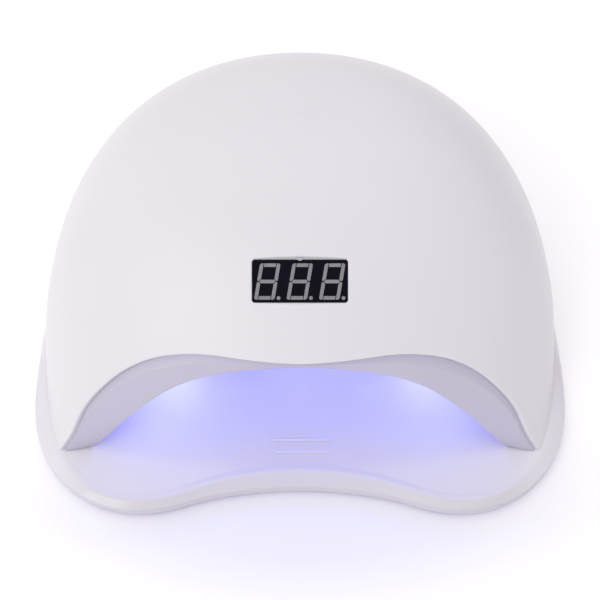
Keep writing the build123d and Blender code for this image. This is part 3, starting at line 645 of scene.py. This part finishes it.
def sheet_fill(b, loop_ids, loops, z, up, step=6.0, normal=None):
    """Flat face at height z between loops whose vertices exist already."""
    g = grid_inside(loops, step)
    tris, nb = fill(loops, g)
    gid = b.add(at(g, z), None if normal is None else np.tile(normal, (len(g), 1)))
    table = np.concatenate(list(loop_ids) + [gid])
    co = np.vstack(list(loops) + [g])
    for t in tris:
        a, c, d = co[t[0]], co[t[1]], co[t[2]]
        ccw = (c[0] - a[0]) * (d[1] - a[1]) - (c[1] - a[1]) * (d[0] - a[0]) > 0
        t = t if ccw == up else t[::-1]
        b.faces([[table[k] for k in t]])


def rows_to_faces(b, rows):
    for r0, r1 in zip(rows, rows[1:]):
        b.strip(r0, r1)


def make_tray_top(materials):
    b = Builder()
    rows = []
    # the strips run from the underside outwards, up the edge, over the ridge and down to the floor
    under = inward(OUTER, 2.6)
    rows.append(b.add(at(under, FLOOR_UNDER)))
    rows.append(b.add(at(under, PART_TOP)))
    rows.append(b.add(at(inward(OUTER, 0.14), PART_TOP)))
    rows.append(b.add(at(inward(OUTER, 0.04), PART_TOP + 0.04)))
    rows.append(b.add(at(OUTER, PART_TOP + 0.14)))
    r = 0.34
    rows.append(b.add(at(OUTER, RIM_Z - r)))
    gap = np.linalg.norm(RIDGE - OUTER, axis=1)
    d = unit(RIDGE - OUTER)
    for a in (0.35, 0.75, 1.1, 1.4):
        q = OUTER + d * (r * (1 - np.cos(a)))
        rows.append(b.add(at(q, RIM_Z - r + r * np.sin(a) * 1.02)))
    eps = 0.32
    us = np.linspace(0, 1, 15)
    us = 0.06 + 0.94 * us
    for u in us:
        dd = 1 - u
        h = 1 - (math.sqrt(dd * dd + eps * eps) - eps) / (math.sqrt(1 + eps * eps) - eps)
        q = OUTER + (RIDGE - OUTER) * u
        rows.append(b.add(at(q, RIM_Z + (RIDGE_Z - RIM_Z) * h)))
    for k in np.linspace(0, 1, 9)[1:]:
        q = inward(RIDGE, 3.0 * k)
        rows.append(b.add(at(q, FLOOR_Z + (RIDGE_Z - FLOOR_Z) * (1 - smoothstep(0.05, 1.0, k)))))
    rows_to_faces(b, rows)
    floor_loop = b.v[-1][:, :2]
    ribs, rib_ids = [], []
    for x0, x1, yy, hgt in RIBS:
        hw = 0.5 * (x1 - x0) + 0.12
        hh0 = 0.62 if hgt > 0.3 else 0.5
        prev = None
        for j, a in enumerate(np.linspace(0, 1, 6)):
            ins, hh = hh0 * (1 - math.cos(a * 1.35)), math.sin(a * 1.35) / math.sin(1.35)
            q = stadium(hw - ins, hh0 - ins, 0.5 * (x0 + x1), yy - 0.85 * ins, 7)
            ids = b.add(at(q, FLOOR_Z + 0.7 * hgt * hh))
            if j == 0:
                ribs.append(q)
                rib_ids.append(ids)
            else:
                b.strip(prev, ids)
            prev = ids
        tr, _ = fill([q], [])
        for t in tr:
            a, c, e = q[t[0]], q[t[1]], q[t[2]]
            ccw = (c[0] - a[0]) * (e[1] - a[1]) - (c[1] - a[1]) * (e[0] - a[0]) > 0
            t = t if ccw else t[::-1]
            b.faces([[prev[k2] for k2 in t]])
    sheet_fill(b, [rows[-1]] + rib_ids, [floor_loop] + ribs, FLOOR_Z, True, 5.0)
    sheet_fill(b, [rows[0]], [under], FLOOR_UNDER, False, 9.0)
    return b.make("tray_top_moulding", materials, 38)


def make_tray_bottom(materials):
    b = Builder()
    inner = inward(OUTER, 2.3)
    rows = [b.add(at(inner, PAN_FLOOR)), b.add(at(inner, PART_LINE))]
    r = 0.55
    for a in np.linspace(0, np.pi / 2, 6):
        rows.append(b.add(at(inward(OUTER, r * (1 - math.sin(a))), PART_LINE - r * (1 - math.cos(a)))))
    r = 0.9
    for a in np.linspace(0, np.pi / 2, 6):
        rows.append(b.add(at(inward(OUTER, r * (1 - math.cos(a))), PAN_Z0 + r - r * math.sin(a))))
    rows = rows[::-1]
    rows_to_faces(b, rows)
    bottom = inward(OUTER, r)
    low_loops, low_ids, top_loops, top_ids = [bottom], [rows[0]], [inner], [rows[-1]]
    for x, y in TRAY_SCREWS:
        for sx in (-1, 1):
            big, small = ring(28, 3.0, sx * x, y), ring(28, 1.5, sx * x, y)
            i0, i1 = b.add(at(big, PAN_Z0)), b.add(at(big, 1.9))
            i2, i3 = b.add(at(small, 1.9)), b.add(at(small, PAN_FLOOR))
            for p, q in ((i0, i1), (i1, i2), (i2, i3)):
                b.strip(p, q)
            low_loops.append(big)
            low_ids.append(i0)
            top_loops.append(small)
            top_ids.append(i3)
    for x, y in FEET:
        for sx in (-1, 1):
            c = ring(48, 7.1, sx * x, y)
            i0, i1 = b.add(at(c, PAN_Z0)), b.add(at(c, 1.4))
            b.strip(i0, i1)
            sheet_fill(b, [i1], [c], 1.4, False, 3.0)
            low_loops.append(c)
            low_ids.append(i0)
    sheet_fill(b, low_ids, low_loops, PAN_Z0, False, 7.0)
    sheet_fill(b, top_ids, top_loops, PAN_FLOOR, True, 9.0)
    return b.make("tray_bottom_moulding", materials, 38)


def make_nib(materials):
    """Small moulded catch that holds the window at the middle of its upper edge."""
    b = Builder()
    top = 16.9 / 2
    prof = [(1.45, top + 0.62, -0.12), (1.35, top + 0.20, -0.34), (1.00, top - 0.08, -0.52), (0.40, top - 0.42, -0.72)]
    rows = []
    for hw, up, dz in prof:
        n = 9
        xs = np.linspace(-hw, hw, n)
        crown = 0.10 * (1 - (xs / hw) ** 2)
        rows.append(DISP_C + xs[:, None] * np.array([1.0, 0, 0]) + up * DU + (dz + crown)[:, None] * DN)
    ids = [b.add(r) for r in rows]
    low = [b.add(r - DN * 0.55) for r in rows]
    for r0, r1 in zip(ids, ids[1:]):
        b.strip(r0, r1, closed=False)
    for r0, r1 in zip(low, low[1:]):
        b.strip(r1, r0, closed=False)
    around = [ids[0], [r[-1] for r in ids[1:]], ids[-1][::-1][1:], [r[0] for r in ids[1:-1]][::-1]]
    under = [low[0], [r[-1] for r in low[1:]], low[-1][::-1][1:], [r[0] for r in low[1:-1]][::-1]]
    b.strip(np.concatenate(around), np.concatenate(under))
    return b.make("window_catch", materials, 40)


# ---- raised numbers on the timer buttons ------------------------------------------------------------
def arc(cx, cz, r, a0, a1, n=16, sx=1.0):
    a = np.radians(np.linspace(a0, a1, n))
    return np.stack([cx + r * sx * np.cos(a), cz + r * np.sin(a)], 1)


def glyph(ch):
    """Strokes of one digit in a 0.6 by 1 box: list of (points, closed)."""
    if ch == "0":
        a = np.radians(np.linspace(0, 360, 41)[:-1])
        c, q = np.cos(a), np.sin(a)
        return [(np.stack([0.3 + 0.235 * np.sign(c) * np.abs(c) ** 0.85, 0.5 + 0.44 * np.sign(q) * np.abs(q) ** 0.85], 1), True)]
    if ch == "1":
        return [(np.array([[0.14, 0.74], [0.24, 0.83], [0.36, 0.94], [0.36, 0.62], [0.36, 0.34], [0.36, 0.06]]), False)]
    if ch == "3":
        up = arc(0.28, 0.725, 0.215, 155, -90, 20)
        low = arc(0.28, 0.285, 0.225, 90, -155, 20)
        return [(up, False), (low, False)]
    ringpts = arc(0.3, 0.30, 0.235, 0, 360, 37)[:-1]
    tail = cubic([(0.066, 0.30), (0.085, 0.52), (0.165, 0.75), (0.30, 0.90), (0.45, 0.945)])(np.linspace(0, 1, 14))
    if ch == "6":
        return [(ringpts, True), (tail, False)]
    return [((0.6, 1.0) - ringpts, True), ((0.6, 1.0) - tail, False)]


def ribbon(b, pts, closed, w, y0, y1):
    """Flat raised stroke on a face that looks to +Y; pts are (x, z)."""
    if closed:
        t = unit(np.roll(pts, -1, 0) - np.roll(pts, 1, 0))
    else:
        t = np.gradient(pts, axis=0)
        t = unit(t)
    nrm = np.stack([-t[:, 1], t[:, 0]], 1)
    left, right = pts + nrm * w / 2, pts - nrm * w / 2
    if closed:
        loops = [left, right]
        if abs(signed_area(left)) < abs(signed_area(right)):
            loops = [right, left]
    else:
        def cap(c, d):
            a = np.radians(np.linspace(-90, 90, 9)[1:-1])
            n2 = np.array([-d[1], d[0]])
            return np.array([c + w / 2 * (np.cos(k) * d + np.sin(k) * n2) for k in a])
        loops = [np.vstack([right, cap(pts[-1], t[-1]), left[::-1], cap(pts[0], -t[0])])]
    tris, _ = fill(loops, [])
    co = np.vstack(loops)
    lo = b.add(np.stack([co[:, 0], np.full(len(co), y0), co[:, 1]], 1))
    hi = b.add(np.stack([co[:, 0], np.full(len(co), y1), co[:, 1]], 1))
    for q in tris:
        a, c, d = co[q[0]], co[q[1]], co[q[2]]
        ccw = (c[0] - a[0]) * (d[1] - a[1]) - (c[1] - a[1]) * (d[0] - a[0]) > 0
        up = q[::-1] if ccw else q
        b.faces([[hi[k] for k in up], [lo[k] for k in up[::-1]]])
    k0 = 0
    for lp in loops:
        n = len(lp)
        b.strip(lo[k0:k0 + n], hi[k0:k0 + n])
        k0 += n


def make_number(text, bx, materials):
    """Number on one button cap, read from behind the lamp."""
    b = Builder()
    h, adv, w = 3.5, 0.70 * 3.5, 0.44
    width = adv + 0.6 * h
    for k, ch in enumerate(text):
        for j, (pts, closed) in enumerate(glyph(ch)):
            g = np.asarray(pts, float) * h
            gx = g[:, 0] + k * adv - width / 2
            q = np.stack([bx - gx, BTN_Z + g[:, 1] - h / 2], 1)
            ribbon(b, q, closed, w, BTN_FACE - 0.06, BTN_FACE + 0.09 - 0.012 * j)
    return b.make("number_" + text, materials, 30)


# ---- materials --------------------------------------------------------------------------------
def new_material(name):
    m = bpy.data.materials.new(name)
    m.use_nodes = True
    nt = m.node_tree
    nt.nodes.clear()
    out = nt.nodes.new("ShaderNodeOutputMaterial")
    bs = nt.nodes.new("ShaderNodeBsdfPrincipled")
    nt.links.new(bs.outputs[0], out.inputs[0])
    co = nt.nodes.new("ShaderNodeTexCoord")
    return m, nt, bs, co, out


def noise(nt, co, scale, detail=4.0, rough=0.55, seed=0.0, stretch=None):
    src = co.outputs["Object"]
    if stretch:
        mp = nt.nodes.new("ShaderNodeMapping")
        mp.inputs["Scale"].default_value = stretch
        nt.links.new(src, mp.inputs["Vector"])
        src = mp.outputs[0]
    n = nt.nodes.new("ShaderNodeTexNoise")
    n.noise_dimensions = "4D"
    n.inputs["W"].default_value = seed
    n.inputs["Scale"].default_value = scale
    n.inputs["Detail"].default_value = detail
    n.inputs["Roughness"].default_value = rough
    nt.links.new(src, n.inputs["Vector"])
    return n


def ramp(nt, fac, stops):
    r = nt.nodes.new("ShaderNodeValToRGB")
    el = r.color_ramp.elements
    while len(el) < len(stops):
        el.new(0.5)
    for e, (p, c) in zip(el, stops):
        e.position = p
        e.color = (c[0], c[1], c[2], 1.0)
    nt.links.new(fac, r.inputs[0])
    return r


def ranged(nt, fac, a, b, lo=0.35, hi=0.65):
    r = nt.nodes.new("ShaderNodeMapRange")
    r.inputs["From Min"].default_value = lo
    r.inputs["From Max"].default_value = hi
    r.inputs["To Min"].default_value = a
    r.inputs["To Max"].default_value = b
    nt.links.new(fac, r.inputs["Value"])
    return r


def plastic(name, colour, rough, vary=0.03, bump=0.05, bump_scale=1400.0, cloud=38.0, rvary=0.06, coat=0.0, spec=0.5, metal=0.0, seed=1.0, trans=0.0, ior=1.46, fine=None):
    """Moulded surface: slow tone drift, a little change of gloss, fine texture."""
    m, nt, bs, co, out = new_material(name)
    n1 = noise(nt, co, cloud, 3.0, 0.5, seed)
    dark = [c * (1 - vary) for c in colour]
    light = [min(c * (1 + vary), 1.0) for c in colour]
    r = ramp(nt, n1.outputs["Fac"], [(0.30, dark), (0.70, light)])
    nt.links.new(r.outputs[0], bs.inputs["Base Color"])
    n2 = noise(nt, co, fine or 260.0, 5.0, 0.6, seed + 3)
    rr = ranged(nt, n2.outputs["Fac"], max(rough - rvary, 0.02), min(rough + rvary, 1.0))
    nt.links.new(rr.outputs[0], bs.inputs["Roughness"])
    n3 = noise(nt, co, bump_scale, 2.0, 0.5, seed + 7)
    bp = nt.nodes.new("ShaderNodeBump")
    bp.inputs["Strength"].default_value = bump
    bp.inputs["Distance"].default_value = 0.0001
    nt.links.new(n3.outputs["Fac"], bp.inputs["Height"])
    nt.links.new(bp.outputs[0], bs.inputs["Normal"])
    bs.inputs["Specular IOR Level"].default_value = spec
    bs.inputs["IOR"].default_value = ior
    bs.inputs["Metallic"].default_value = metal
    bs.inputs["Coat Weight"].default_value = coat
    bs.inputs["Coat Roughness"].default_value = 0.08
    bs.inputs["Transmission Weight"].default_value = trans
    return m


SHELL_W = (0.768, 0.756, 0.792)
# painted shade: the tray's lower rim is a darker copy of the tray plastic, standing in for the shade on its
# front-facing wall
SHADED_RIM_W = plastic("rim_white_painted_shade", (0.690, 0.660, 0.730), 0.50, 0.008, 0.02, 1200, 25, 0.02, spec=0.30, seed=2.5)
M = {
    "shell_white": plastic("shell_white", SHELL_W, 0.34, 0.008, 0.06, 1500, 22, 0.03, 0.0, 0.5, seed=1.0),
    "tray_white": plastic("tray_white", (0.775, 0.750, 0.805), 0.22, 0.008, 0.04, 1200, 25, 0.03, coat=0.5, seed=2.0),
    # painted shade and painted violet lamp light: the liner's white plastic is given a darker, more violet tone
    "liner_white": plastic("liner_white", (0.560, 0.535, 0.655), 0.38, 0.01, 0.05, 1500, 30, 0.03, seed=3.0),
    "steel": plastic("steel", (0.60, 0.60, 0.62), 0.28, 0.08, 0.25, 2600, 300, 0.08, metal=1.0, seed=4.0),
    "magnet": plastic("magnet", (0.70, 0.69, 0.70), 0.18, 0.05, 0.12, 900, 200, 0.06, metal=1.0, seed=5.0),
    "rubber_grey": plastic("rubber_grey", (0.20, 0.20, 0.21), 0.72, 0.10, 0.5, 2400, 240, 0.08, spec=0.3, seed=6.0),
    "led_body": plastic("led_body", (0.80, 0.79, 0.72), 0.5, 0.03, 0.1, 1800, 200, 0.05, seed=7.0),
    "tin": plastic("tin", (0.72, 0.72, 0.70), 0.3, 0.08, 0.3, 2500, 500, 0.1, metal=1.0, seed=8.0),
    "pcb_white": plastic("pcb_white", (0.72, 0.73, 0.70), 0.42, 0.03, 0.1, 900, 120, 0.05, seed=9.0),
    "spacer": plastic("spacer", (0.75, 0.74, 0.70), 0.5, 0.03, 0.1, 1500, 200, 0.05, seed=10.0),
    "pcb_green": plastic("pcb_green", (0.02, 0.13, 0.05), 0.32, 0.25, 0.15, 700, 160, 0.06, seed=11.0),
    "chip_black": plastic("chip_black", (0.022, 0.022, 0.024), 0.55, 0.15, 0.3, 3000, 300, 0.06, seed=12.0),
    "capacitor": plastic("capacitor", (0.02, 0.022, 0.05), 0.3, 0.12, 0.06, 800, 200, 0.05, seed=13.0),
    "ferrite": plastic("ferrite", (0.05, 0.05, 0.052), 0.6, 0.2, 0.5, 1800, 300, 0.08, seed=14.0),
    "connector_white": plastic("connector_white", (0.78, 0.76, 0.68), 0.45, 0.03, 0.1, 1500, 200, 0.05, seed=15.0),
    "display_black": plastic("display_black", (0.0052, 0.0050, 0.0105), 0.30, 0.2, 0.02, 300, 60, 0.04, spec=0.04, seed=16.0),
    "segment_grey": plastic("segment_grey", (0.245, 0.242, 0.252), 0.45, 0.10, 0.1, 1500, 400, 0.05, seed=17.0),
    "print_grey": plastic("print_grey", (0.16, 0.16, 0.18), 0.5, 0.10, 0.1, 1500, 300, 0.05, seed=27.0),
    "jack_black": plastic("jack_black", (0.02, 0.02, 0.02), 0.4, 0.15, 0.2, 1800, 200, 0.06, seed=18.0),
    "switch_body": plastic("switch_body", (0.03, 0.03, 0.03), 0.5, 0.15, 0.2, 1800, 200, 0.06, seed=19.0),
    "plunger": plastic("plunger", (0.03, 0.03, 0.032), 0.4, 0.15, 0.1, 1800, 200, 0.06, seed=20.0),
    "button_white": plastic("button_white", (0.74, 0.725, 0.755), 0.38, 0.01, 0.08, 1800, 60, 0.04, seed=21.0),
    "wire_red": plastic("wire_red", (0.42, 0.02, 0.015), 0.38, 0.08, 0.1, 1500, 200, 0.05, seed=22.0),
    "wire_white": plastic("wire_white", (0.75, 0.74, 0.71), 0.4, 0.03, 0.1, 1500, 200, 0.05, seed=23.0),
    "wire_black": plastic("wire_black", (0.015, 0.015, 0.015), 0.4, 0.1, 0.1, 1500, 200, 0.05, seed=24.0),
    "sensor_clear": plastic("sensor_clear", (0.85, 0.87, 0.95), 0.08, 0.02, 0.01, 500, 200, 0.02, trans=0.85, seed=25.0),
    "sensor_dark": plastic("sensor_dark", (0.01, 0.01, 0.014), 0.1, 0.1, 0.01, 500, 200, 0.02, coat=0.4, seed=26.0),
}


def calc(nt, op, *args):
    n = nt.nodes.new("ShaderNodeMath")
    n.operation = op
    for i, a in enumerate(args):
        if isinstance(a, (int, float)):
            n.inputs[i].default_value = a
        else:
            nt.links.new(a, n.inputs[i])
    return n.outputs[0]


def tone_parts(mat):
    nt = mat.node_tree
    bs = next(n for n in nt.nodes if n.type == "BSDF_PRINCIPLED")
    co = next(n for n in nt.nodes if n.type == "TEX_COORD")
    sep = nt.nodes.new("ShaderNodeSeparateXYZ")
    nt.links.new(co.outputs["Object"], sep.inputs[0])
    return nt, bs, bs.inputs["Base Color"].links[0].from_socket, sep


def scaled_tone(nt, bs, tone, factor):
    comb = nt.nodes.new("ShaderNodeCombineXYZ")
    for i in range(3):
        nt.links.new(factor, comb.inputs[i])
    mul = nt.nodes.new("ShaderNodeVectorMath")
    mul.operation = "MULTIPLY"
    nt.links.new(tone, mul.inputs[0])
    nt.links.new(comb.outputs[0], mul.inputs[1])
    nt.links.new(mul.outputs[0], bs.inputs["Base Color"])


def painted_lobe_light_and_rib_highlight(mat, inner, outer):
    """Painted light on the tray: its tone is 0.87 inside |x| = 82 mm and rises to full on the left and right lobes,
    standing in for the light the lobes catch; the floor ribs get a painted highlight that raises their tone by 0.11.
    """
    nt, bs, tone, sep = tone_parts(mat)
    ax = calc(nt, "ABSOLUTE", sep.outputs["X"])
    # painted light: darker middle, lighter left and right lobes
    lobes = ranged(nt, ax, 0.87, 1.0, inner, outer)
    lobes.interpolation_type = "SMOOTHSTEP"
    # painted highlight on the floor ribs
    z = ranged(nt, sep.outputs["Z"], 0.0, 1.0, FLOOR_Z * 0.001 + 0.00010, FLOOR_Z * 0.001 + 0.00028).outputs[0]
    y = ranged(nt, sep.outputs["Y"], 0.0, 1.0, -0.0790, -0.0785).outputs[0]
    x = ranged(nt, ax, 1.0, 0.0, 0.0136, 0.0142).outputs[0]
    y2 = ranged(nt, sep.outputs["Y"], 1.0, 0.0, -0.0655, -0.0650).outputs[0]
    rib_highlight = calc(nt, "MULTIPLY", calc(nt, "MULTIPLY", x, y), calc(nt, "MULTIPLY", z, y2))
    scaled_tone(nt, bs, tone, calc(nt, "MULTIPLY_ADD", rib_highlight, 0.11, lobes.outputs[0]))


def shaded_lip(mat):
    """Painted shade: the soft lip over the window is made a little darker than the skin around it, standing in for the
    shade of the recess.
    """
    nt, bs, tone, sep = tone_parts(mat)
    dot = nt.nodes.new("ShaderNodeVectorMath")
    dot.operation = "DOT_PRODUCT"
    dot.inputs[1].default_value = tuple(DU)
    co = next(n for n in nt.nodes if n.type == "TEX_COORD")
    nt.links.new(co.outputs["Object"], dot.inputs[0])
    up = calc(nt, "SUBTRACT", dot.outputs["Value"], float(np.dot(DISP_C, DU)) * 0.001)
    ax = calc(nt, "ABSOLUTE", sep.outputs["X"])
    x2 = calc(nt, "MULTIPLY", ax, ax)
    edge = calc(nt, "MULTIPLY_ADD", x2, 0.83 / 0.361, calc(nt, "SUBTRACT", up, 0.00845 + 0.00125))
    on_lip = ranged(nt, edge, 1.0, 0.0, -0.00022, 0.00006).outputs[0]
    above = ranged(nt, up, 0.0, 1.0, 0.0068, 0.0074).outputs[0]
    across = ranged(nt, ax, 1.0, 0.0, 0.0180, 0.0187).outputs[0]
    front = ranged(nt, sep.outputs["Y"], 1.0, 0.0, float(DISP_C[1]) * 0.001 + 0.012, float(DISP_C[1]) * 0.001 + 0.016).outputs[0]
    mask = calc(nt, "MULTIPLY", calc(nt, "MULTIPLY", on_lip, above), calc(nt, "MULTIPLY", across, front))
    # painted shade: tone times 0.67 on the upper lip
    scaled_tone(nt, bs, tone, calc(nt, "MULTIPLY_ADD", mask, -0.33, 1.0))


# painted light on the tray lobes and a painted highlight on the floor ribs
painted_lobe_light_and_rib_highlight(M["tray_white"], 0.082, 0.104)
# painted shade on the lip above the window
shaded_lip(M["shell_white"])


def lens_material():
    m, nt, bs, co, out = new_material("led_lens")
    n1 = noise(nt, co, 900.0, 2.0, 0.5, 31.0)
    r = ramp(nt, n1.outputs["Fac"], [(0.3, (0.62, 0.60, 0.95)), (0.7, (0.72, 0.70, 1.0))])
    nt.links.new(r.outputs[0], bs.inputs["Base Color"])
    rr = ranged(nt, n1.outputs["Fac"], 0.08, 0.16)
    nt.links.new(rr.outputs[0], bs.inputs["Roughness"])
    e = ramp(nt, n1.outputs["Fac"], [(0.3, (0.22, 0.18, 1.0)), (0.7, (0.30, 0.25, 1.0))])
    nt.links.new(e.outputs[0], bs.inputs["Emission Color"])
    bs.inputs["Emission Strength"].default_value = 3.0
    return m


M["led_lens"] = lens_material()

for m_row in frame["record"]["materials"]:
    assert m_row["slot"] in M, m_row["slot"]
SLOT = {row["node"]: row["material_slot"] for row in frame["record"]["subparts"]}
for name, ob in NODES.items():
    ob.data.materials.clear()
    ob.data.materials.append(M[SLOT[name]])

# ---- pieces --------------------------------------------------------------------------------------
shell = make_shell([M["shell_white"]])
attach(shell, "housing")
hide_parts("outer_shell")

tray_top = make_tray_top([M["tray_white"]])
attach(tray_top, "tray")
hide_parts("tray_top")

# the lower rim takes the painted-shade copy of the tray plastic
tray_bottom = make_tray_bottom([SHADED_RIM_W])
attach(tray_bottom, "tray")
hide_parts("tray_bottom")

for text, bx in zip(("99", "60", "30", "10"), BTN_X):
    number = make_number(text, bx, [M["print_grey"]])
    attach(number, "timer_" + text)

nib = make_nib([M["shell_white"]])
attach(nib, "housing")

# ---- light in the hand space -------------------------------------------------------------------------
def area(name, loc, size, power, colour, target=None, body=None, sy=None, spread=None):
    d = bpy.data.lights.new(name, "AREA")
    d.shape = "RECTANGLE" if sy else "SQUARE"
    d.size = size
    if sy:
        d.size_y = sy
    d.energy = power
    d.color = colour
    if spread:
        d.spread = spread
    o = bpy.data.objects.new(name, d)
    o.location = loc
    if target is not None:
        v = Vector(target) - Vector(loc)
        o.rotation_mode = "QUATERNION"
        o.rotation_quaternion = v.to_track_quat("-Z", "Y")
    bpy.context.scene.collection.objects.link(o)
    if body:
        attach(o, body)
    return o


for o in (area("uv_glow", (0, 0.004, 0.054), 0.150, 0.106, (0.295, 0.335, 1.0), (0, 0.002, 0.0), "housing", sy=0.09),
          area("uv_left", (-0.056, -0.036, 0.033), 0.018, 0.013, (0.42, 0.48, 1.0), (-0.078, -0.056, 0.007), "housing", sy=0.022),
          area("uv_right", (0.056, -0.036, 0.033), 0.018, 0.0095, (0.42, 0.48, 1.0), (0.078, -0.056, 0.007), "housing", sy=0.022)):
    o.visible_camera = False
    o.visible_glossy = False

# ---- studio --------------------------------------------------------------------------------------------
world = bpy.data.worlds.new("studio")
bpy.context.scene.world = world
world.use_nodes = True
wt = world.node_tree
bg = wt.nodes["Background"]
wco = wt.nodes.new("ShaderNodeTexCoord")
wsep = wt.nodes.new("ShaderNodeSeparateXYZ")
wt.links.new(wco.outputs["Generated"], wsep.inputs[0])
wmap = wt.nodes.new("ShaderNodeMapRange")
wmap.inputs["From Min"].default_value = -1.0
wmap.inputs["From Max"].default_value = 1.0
wt.links.new(wsep.outputs["X"], wmap.inputs["Value"])
wr = ramp(wt, wmap.outputs[0], [(0.0, (0.97, 0.965, 0.97)), (0.5, (0.90, 0.885, 0.90)), (1.0, (0.58, 0.53, 0.575))])
wt.links.new(wr.outputs[0], bg.inputs[0])
wz = wt.nodes.new("ShaderNodeMapRange")
wz.inputs["From Min"].default_value = 0.0
wz.inputs["From Max"].default_value = 0.7
wz.inputs["To Min"].default_value = 0.74
wz.inputs["To Max"].default_value = 1.04
wt.links.new(wsep.outputs["Z"], wz.inputs["Value"])
wy = wt.nodes.new("ShaderNodeMapRange")
wy.inputs["From Min"].default_value = -0.8
wy.inputs["From Max"].default_value = 0.8
wy.inputs["To Min"].default_value = 0.99
wy.inputs["To Max"].default_value = 1.03
wt.links.new(wsep.outputs["Y"], wy.inputs["Value"])
wm = wt.nodes.new("ShaderNodeMath")
wm.operation = "MULTIPLY"
wt.links.new(wz.outputs[0], wm.inputs[0])
wt.links.new(wy.outputs[0], wm.inputs[1])
wt.links.new(wm.outputs[0], bg.inputs[1])

me = bpy.data.meshes.new("floor")
me.from_pydata([(-6, -6, 0), (6, -6, 0), (6, 6, 0), (-6, 6, 0)], [], [(0, 1, 2, 3)])
floor = bpy.data.objects.new("floor", me)
bpy.context.scene.collection.objects.link(floor)
floor_white = plastic("floor_white", (0.885, 0.885, 0.885), 0.85, 0.005, 0.02, 300, 8, 0.03, spec=0.1, seed=40.0)
ft = floor_white.node_tree
floor_bsdf = next(n for n in ft.nodes if n.type == "BSDF_PRINCIPLED")
# lit from below like a light table; the weaker, blue-violet glow just in front of the lamp is a painted shadow with
# painted violet spill light
fco = next(n for n in ft.nodes if n.type == "TEX_COORD")
fmap = ft.nodes.new("ShaderNodeMapping")
fmap.inputs["Location"].default_value = (0.0, 0.090 / 0.050, 0.0)
fmap.inputs["Scale"].default_value = (1 / 0.115, 1 / 0.050, 0.0)
ft.links.new(fco.outputs["Object"], fmap.inputs["Vector"])
flen = ft.nodes.new("ShaderNodeVectorMath")
flen.operation = "LENGTH"
ft.links.new(fmap.outputs[0], flen.inputs[0])
frange = ranged(ft, flen.outputs["Value"], 0.0, 1.0, 0.45, 1.40)
frange.interpolation_type = "SMOOTHSTEP"
# painted shadow and painted violet spill: emission near the lamp front is dark blue-violet, 0.2 grey further away
floor_painted_shadow_and_spill = ramp(ft, frange.outputs[0], [(0.0, (0.008, 0.004, 0.075)), (1.0, (0.20, 0.20, 0.20))])
ft.links.new(floor_painted_shadow_and_spill.outputs[0], floor_bsdf.inputs["Emission Color"])
floor_bsdf.inputs["Emission Strength"].default_value = 1.0
me.materials.append(floor_white)

area("key", (-0.9, -1.0, 1.2), 0.9, 4.6, (1.0, 0.99, 0.98), (0, 0, 0.03))
area("top", (0.1, 0.4, 1.6), 1.2, 1.6, (1.0, 1.0, 1.0), (0, 0, 0.03))

# ---- update of the scene ---------------------------------------------------------------------------------
bpy.context.view_layer.update()
